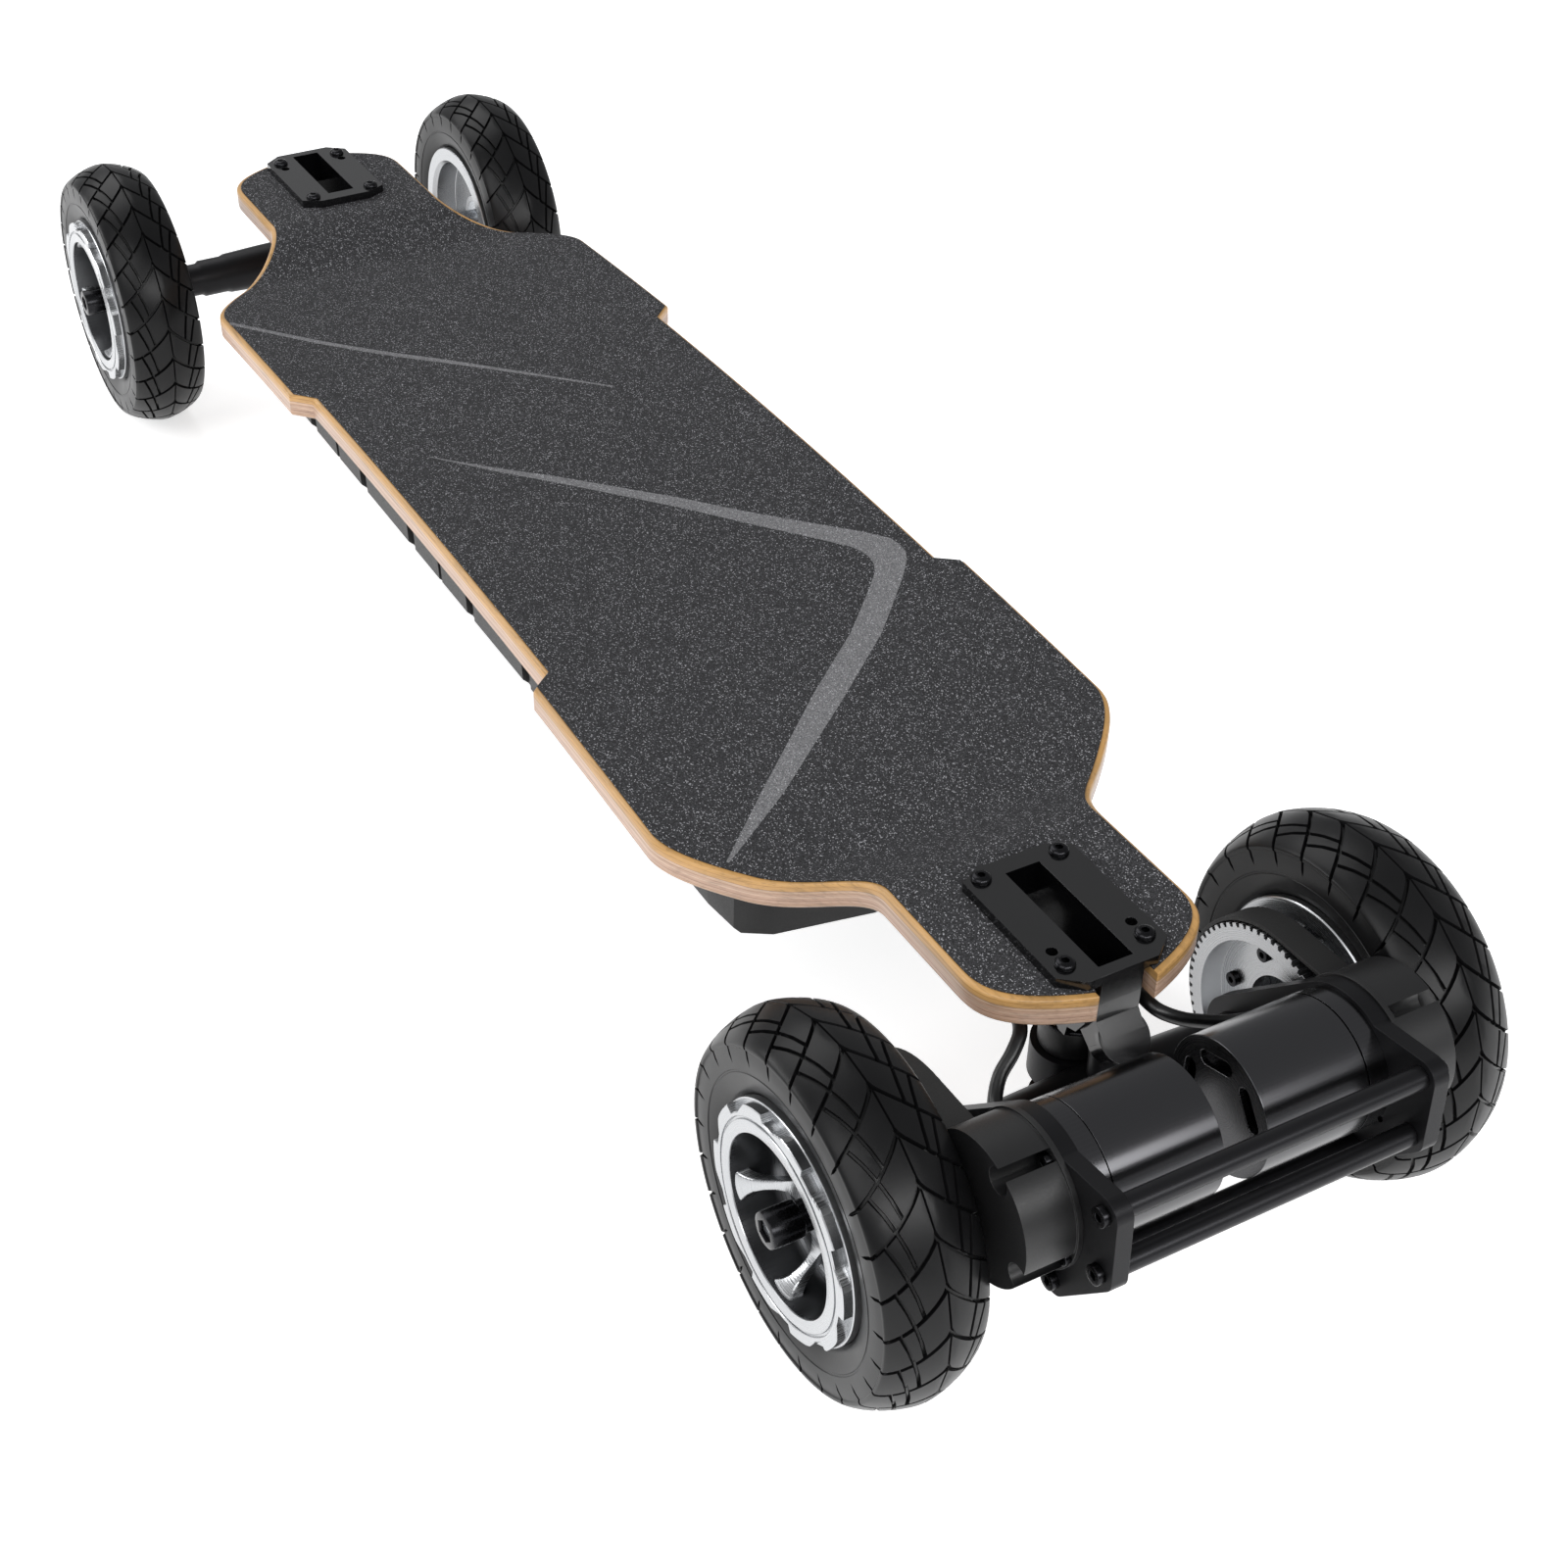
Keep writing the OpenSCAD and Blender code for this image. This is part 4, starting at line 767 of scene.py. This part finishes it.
# a turned piece with a hex socket in its far end
def socketTurning(profile, foot, along, flats, deep, sides=36):
    points, faces = [], []
    along = along.normalized()
    right = along.orthogonal().normalized()
    up = along.cross(right)
    rings = [[(r, reach)] * sides for r, reach in profile]
    hexagon = [flats / 2 / math.cos((2 * math.pi * i / sides
                                     + math.pi / 6) % (math.pi / 3) - math.pi / 6) for i in range(sides)]
    top = profile[-1][1]
    rings += [[(r + 0.15, top) for r in hexagon], [(r, top - 0.2) for r in hexagon],
              [(r, top - deep) for r in hexagon]]
    for ring in rings:
        for i, (r, reach) in enumerate(ring):
            a = 2 * math.pi * i / sides
            points.append(foot + along * reach + right * (r * math.cos(a)) + up * (r * math.sin(a)))
    for i in range(len(rings) - 1):
        for j in range(sides):
            k = (j + 1) % sides
            faces.append((i * sides + j, i * sides + k, (i + 1) * sides + k, (i + 1) * sides + j))
    faces.append(tuple(reversed(range(sides))))
    faces.append(tuple((len(rings) - 1) * sides + j for j in range(sides)))
    return points, faces


socketScrews = {"truck_screws": ("z", 3.2, 1.7, 2.2), "guard_screws": ("y", 3.6, 1.9, 0.35),
                "drive_screws": ("y", 2.8, 1.4, 0.35),
                "left_pulley_screws": ("y", 2.8, 1.6, 0.35), "right_pulley_screws": ("y", 2.8, 1.6, 0.35)}


# crown is how far the head's edge is rounded, in millimetres
def rebuildScrews(node, axisName, flats, deep, crown):
    axis = Vector((0, 0, 1)) if axisName == "z" else Vector((0, 1, 0))
    points, faces = [], []
    for part in looseParts(node):
        ends = [v.dot(axis) for v in part]
        low, high = min(ends), max(ends)
        middle = Vector([(min(v[i] for v in part) + max(v[i] for v in part)) / 2 for i in range(3)])
        middle -= axis * middle.dot(axis)
        near = [max((v - axis * e - middle).length for v,
                    e in zip(part, ends) if abs(e - end) < 0.3) for end in (low, high)]
        headHigh = near[1] > near[0]
        head, shank = max(near), min(near)
        wide = [e for v, e in zip(part, ends) if (v - axis * e - middle).length > shank + 0.3]
        thick = max(wide) - min(wide)
        length = high - low
        along = axis if headHigh else -axis
        foot = middle + axis * (low if headHigh else high)
        profile = [(shank, 0), (shank, length - thick), (head - 0.2, length - thick),
                   (head, length - thick + 0.2)]
        profile += [(head - crown * (1 - math.cos(a)), length - crown + crown * math.sin(a))
                    for a in (0, 0.5, 1.0, math.pi / 2)]
        made, sides = socketTurning(profile, foot, along, flats, deep)
        faces += [tuple(len(points) + k for k in face) for face in sides]
        points += made
    makePiece(node + "_sockets", [tuple(p) for p in points], faces, finishes[lookOf[node]], bodyOf[node], 40,
              (node,))


for name, (axisName, flats, deep, crown) in socketScrews.items():
    rebuildScrews(name, axisName, flats, deep, crown)
for end in ("front", "rear"):
    points, faces = [], []
    for part in looseParts(f"{end}_axle_nuts"):
        low, high = (min(abs(v.y) for v in part), max(abs(v.y) for v in part))
        side = 1 if part[0].y > 0 else -1
        foot = Vector((middleOf(f"{end}_left_rim").x, side * low, axleZ))
        length = high - low
        profile = [(6.1, 0), (7.25, 0), (7.25, 8.6), (8.1, 9), (8.5, 9.4), (8.5, length - 1),
                   (8.2, length - 0.3), (7.6, length)]
        made, sides = socketTurning(profile, foot, Vector((0, side, 0)), 9.5, 4.5)
        faces += [tuple(len(points) + k for k in face) for face in sides]
        points += made
    makePiece(f"{end}_socket_nuts", [tuple(p) for p in points], faces, finishes["black_steel"],
              bodyOf[f"{end}_axle_nuts"], 40,
              (f"{end}_axle_nuts",))
print("screws and axle nuts built")


# motor cables

cableParts = {"diameter": 6.5, "sides": 20, "steps": 5, "routes": {
    "left": ((-347.2, 27, 116), (-359, 27.2, 116.6), (-374, 30, 124), (-388, 32, 130), (-404, 34, 134),
             (-424, 36, 136), (-444, 36, 137), (-462, 36.5, 137), (-472, 40, 135.5), (-478, 47.5, 131),
             (-482, 56, 125), (-488, 62, 120), (-494.5, 66, 118.4), (-501, 68.4, 119.5),
             (-506.8, 69, 120.9)),
    "right": ((-347.2, 27, 116), (-359, 27.2, 116.6), (-374, 29, 124), (-388, 30, 130), (-404, 29, 133),
              (-424, 27, 133), (-444, 24, 133), (-462, 21, 134), (-476, 20, 134), (-486, 22, 132),
              (-491, 31, 127), (-493, 42, 122), (-496, 56, 118), (-501, 67.5, 119.6),
              (-506.8, 69, 120.9))}}


def smoothRoute(route, steps):  # a curve through the points
    curve = []
    for i in range(len(route) - 1):
        a, b, c, d = (Vector(route[min(max(k, 0), len(route) - 1)]) for k in (i - 1, i, i + 1, i + 2))
        for s in range(steps):
            t = s / steps
            curve.append(0.5 * (2 * b
                                + (c - a) * t + (2 * a - 5 * b
                                                 + 4 * c - d) * t * t + (3 * b - a - 3 * c + d) * t ** 3))
    return curve + [Vector(route[-1])]


def buildCable(side, sign):
    p = cableParts
    route = [(midX + x, sign * y, z) for x, y, z in p["routes"][side]]
    curve = smoothRoute(route, p["steps"])
    points, faces = [], []
    ring = p["sides"]
    for i, place in enumerate(curve):
        along = (curve[min(i + 1, len(curve) - 1)] - curve[max(i - 1, 0)]).normalized()
        right = along.cross(Vector((0, 0, 1))).normalized()
        up = right.cross(along)
        for j in range(ring):
            a = 2 * math.pi * j / ring
            points.append(tuple(place + (right * math.cos(a) + up * math.sin(a)) * p["diameter"] / 2))
    for i in range(len(curve) - 1):
        for j in range(ring):
            k = (j + 1) % ring
            faces.append((i * ring + j, i * ring + k, (i + 1) * ring + k, (i + 1) * ring + j))
    faces.append(tuple(reversed(range(ring))))
    faces.append(tuple((len(curve) - 1) * ring + j for j in range(ring)))
    name = f"{side}_motor_cable"
    cable = makePiece(f"{side}_cable_jacket", points, faces, finishes["cable_rubber"])
    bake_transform(cable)
    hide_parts(name)


buildCable("left", 1)
buildCable("right", -1)


# CAD pieces with broken edges

softWidths = {"baseplate": 0.7, "hanger": 1.0, "motor_mount": 0.7, "belt_cover": 1.4, "rotor": 1.3,
              "motor_bases": 0.5, "battery_box": 1.2, "wheel_pulley": 0.2, "motor_pulley": 0.2,
              "guard_rods": 0.4, "truck_nuts": 0.3, "kingpins": 0.8, "kingpin_washers": 0.4,
              "kingpin_nuts": 0.6, "bushings": 1.2, "pivot_cups": 0.4, "axles": 0.4, "bearings": 0.3,
              "charge_port": 0.4, "charge_port_cap": 0.5, "button_housing": 0.5, "power_button": 0.7,
              "battery_box_screws": 0.3, "speed_controller": 0.4, "belt": 0.3}
for name in sorted(nodes):
    if nodes[name].hide_render:
        continue
    width = next((w for key, w in softWidths.items() if name.endswith(key)), None)
    if width:
        softened(name, width)
    else:
        nodes[name].data.materials.clear()
        nodes[name].data.materials.append(finishes[lookOf[name]])
print("CAD pieces finished")


# floor, light and camera

studio = {"floorSize": 16.0, "floorGlow": 0.6, "world": 0.4, "lights": {  # place, width, height, power
    "key": ((-1.2, 2.4, 2.6), 2.2, 2.2, 38.0), "rear": ((-2.1, 0.1, 1.3), 2.4, 0.6, 30.0),
    "left": ((1.7, 2.2, 1.2), 2.0, 0.5, 24.0), "back": ((2.2, 0.4, 2.6), 2.4, 2.4, 38.0)}}


def buildStudio():
    half = studio["floorSize"] * 500
    floor = makePiece("floor", [(-half, -half, -0.5), (half, -half, -0.5), (half, half, -0.5),
                                (-half, half, -0.5)], [(0, 1, 2, 3)],
                      finishes["grip"])
    white, tree, shader = startMaterial("pale floor")
    shader.inputs["Base Color"].default_value = linear("#f4f4f4")
    shader.inputs["Roughness"].default_value = 0.9
    shader.inputs["Emission Color"].default_value = (1, 1, 1, 1)
    shader.inputs["Emission Strength"].default_value = studio["floorGlow"]
    floor.data.materials[0] = white
    world = bpy.data.worlds.new("studio")
    world.use_nodes = True
    world.node_tree.nodes["Background"].inputs["Color"].default_value = linear("#f7f8fa")
    world.node_tree.nodes["Background"].inputs["Strength"].default_value = studio["world"]
    bpy.context.scene.world = world
    for name, (place, width, height, power) in studio["lights"].items():
        light = bpy.data.lights.new(name, "AREA")
        light.shape = "RECTANGLE"
        light.size = width
        light.size_y = height
        light.energy = power
        lamp = bpy.data.objects.new(name, light)
        bpy.context.scene.collection.objects.link(lamp)
        lamp.location = place
        lamp.visible_camera = False
        lamp.rotation_euler = (Vector((0, 0, 0.1)) - Vector(place)).to_track_quat("-Z", "Y").to_euler()


view = {"from": (-1039.6, 497.6, 817.6), "yaw": -28.71, "down": 38.8, "roll": 0.39, "focal": 2373.1,
        "side": 67.2, "up": 52.6}


def buildCamera():
    yaw, down, roll = (math.radians(view[k]) for k in ("yaw", "down", "roll"))
    forward = Vector((math.cos(yaw) * math.cos(down), math.sin(yaw) * math.cos(down), -math.sin(down)))
    across = forward.cross(Vector((0, 0, 1))).normalized()
    upright = across.cross(forward)
    right = across * math.cos(roll) + upright * math.sin(roll)
    top = upright * math.cos(roll) - across * math.sin(roll)
    camera = bpy.data.objects.new("camera", bpy.data.cameras.new("camera"))
    bpy.context.scene.collection.objects.link(camera)
    place = Vector(((view["from"][0] + midX) / 1000, view["from"][1] / 1000, view["from"][2] / 1000))
    camera.matrix_world = Matrix.Translation(place) @ Matrix((right, top, -forward)).transposed().to_4x4()
    camera.data.sensor_width = 36
    camera.data.lens = view["focal"] / 1600 * 36
    camera.data.shift_x = view["side"] / 1600
    camera.data.shift_y = view["up"] / 1600
    bpy.context.scene.camera = camera


buildStudio()
buildCamera()
bpy.context.scene.view_settings.view_transform = "Standard"
print("studio ready")
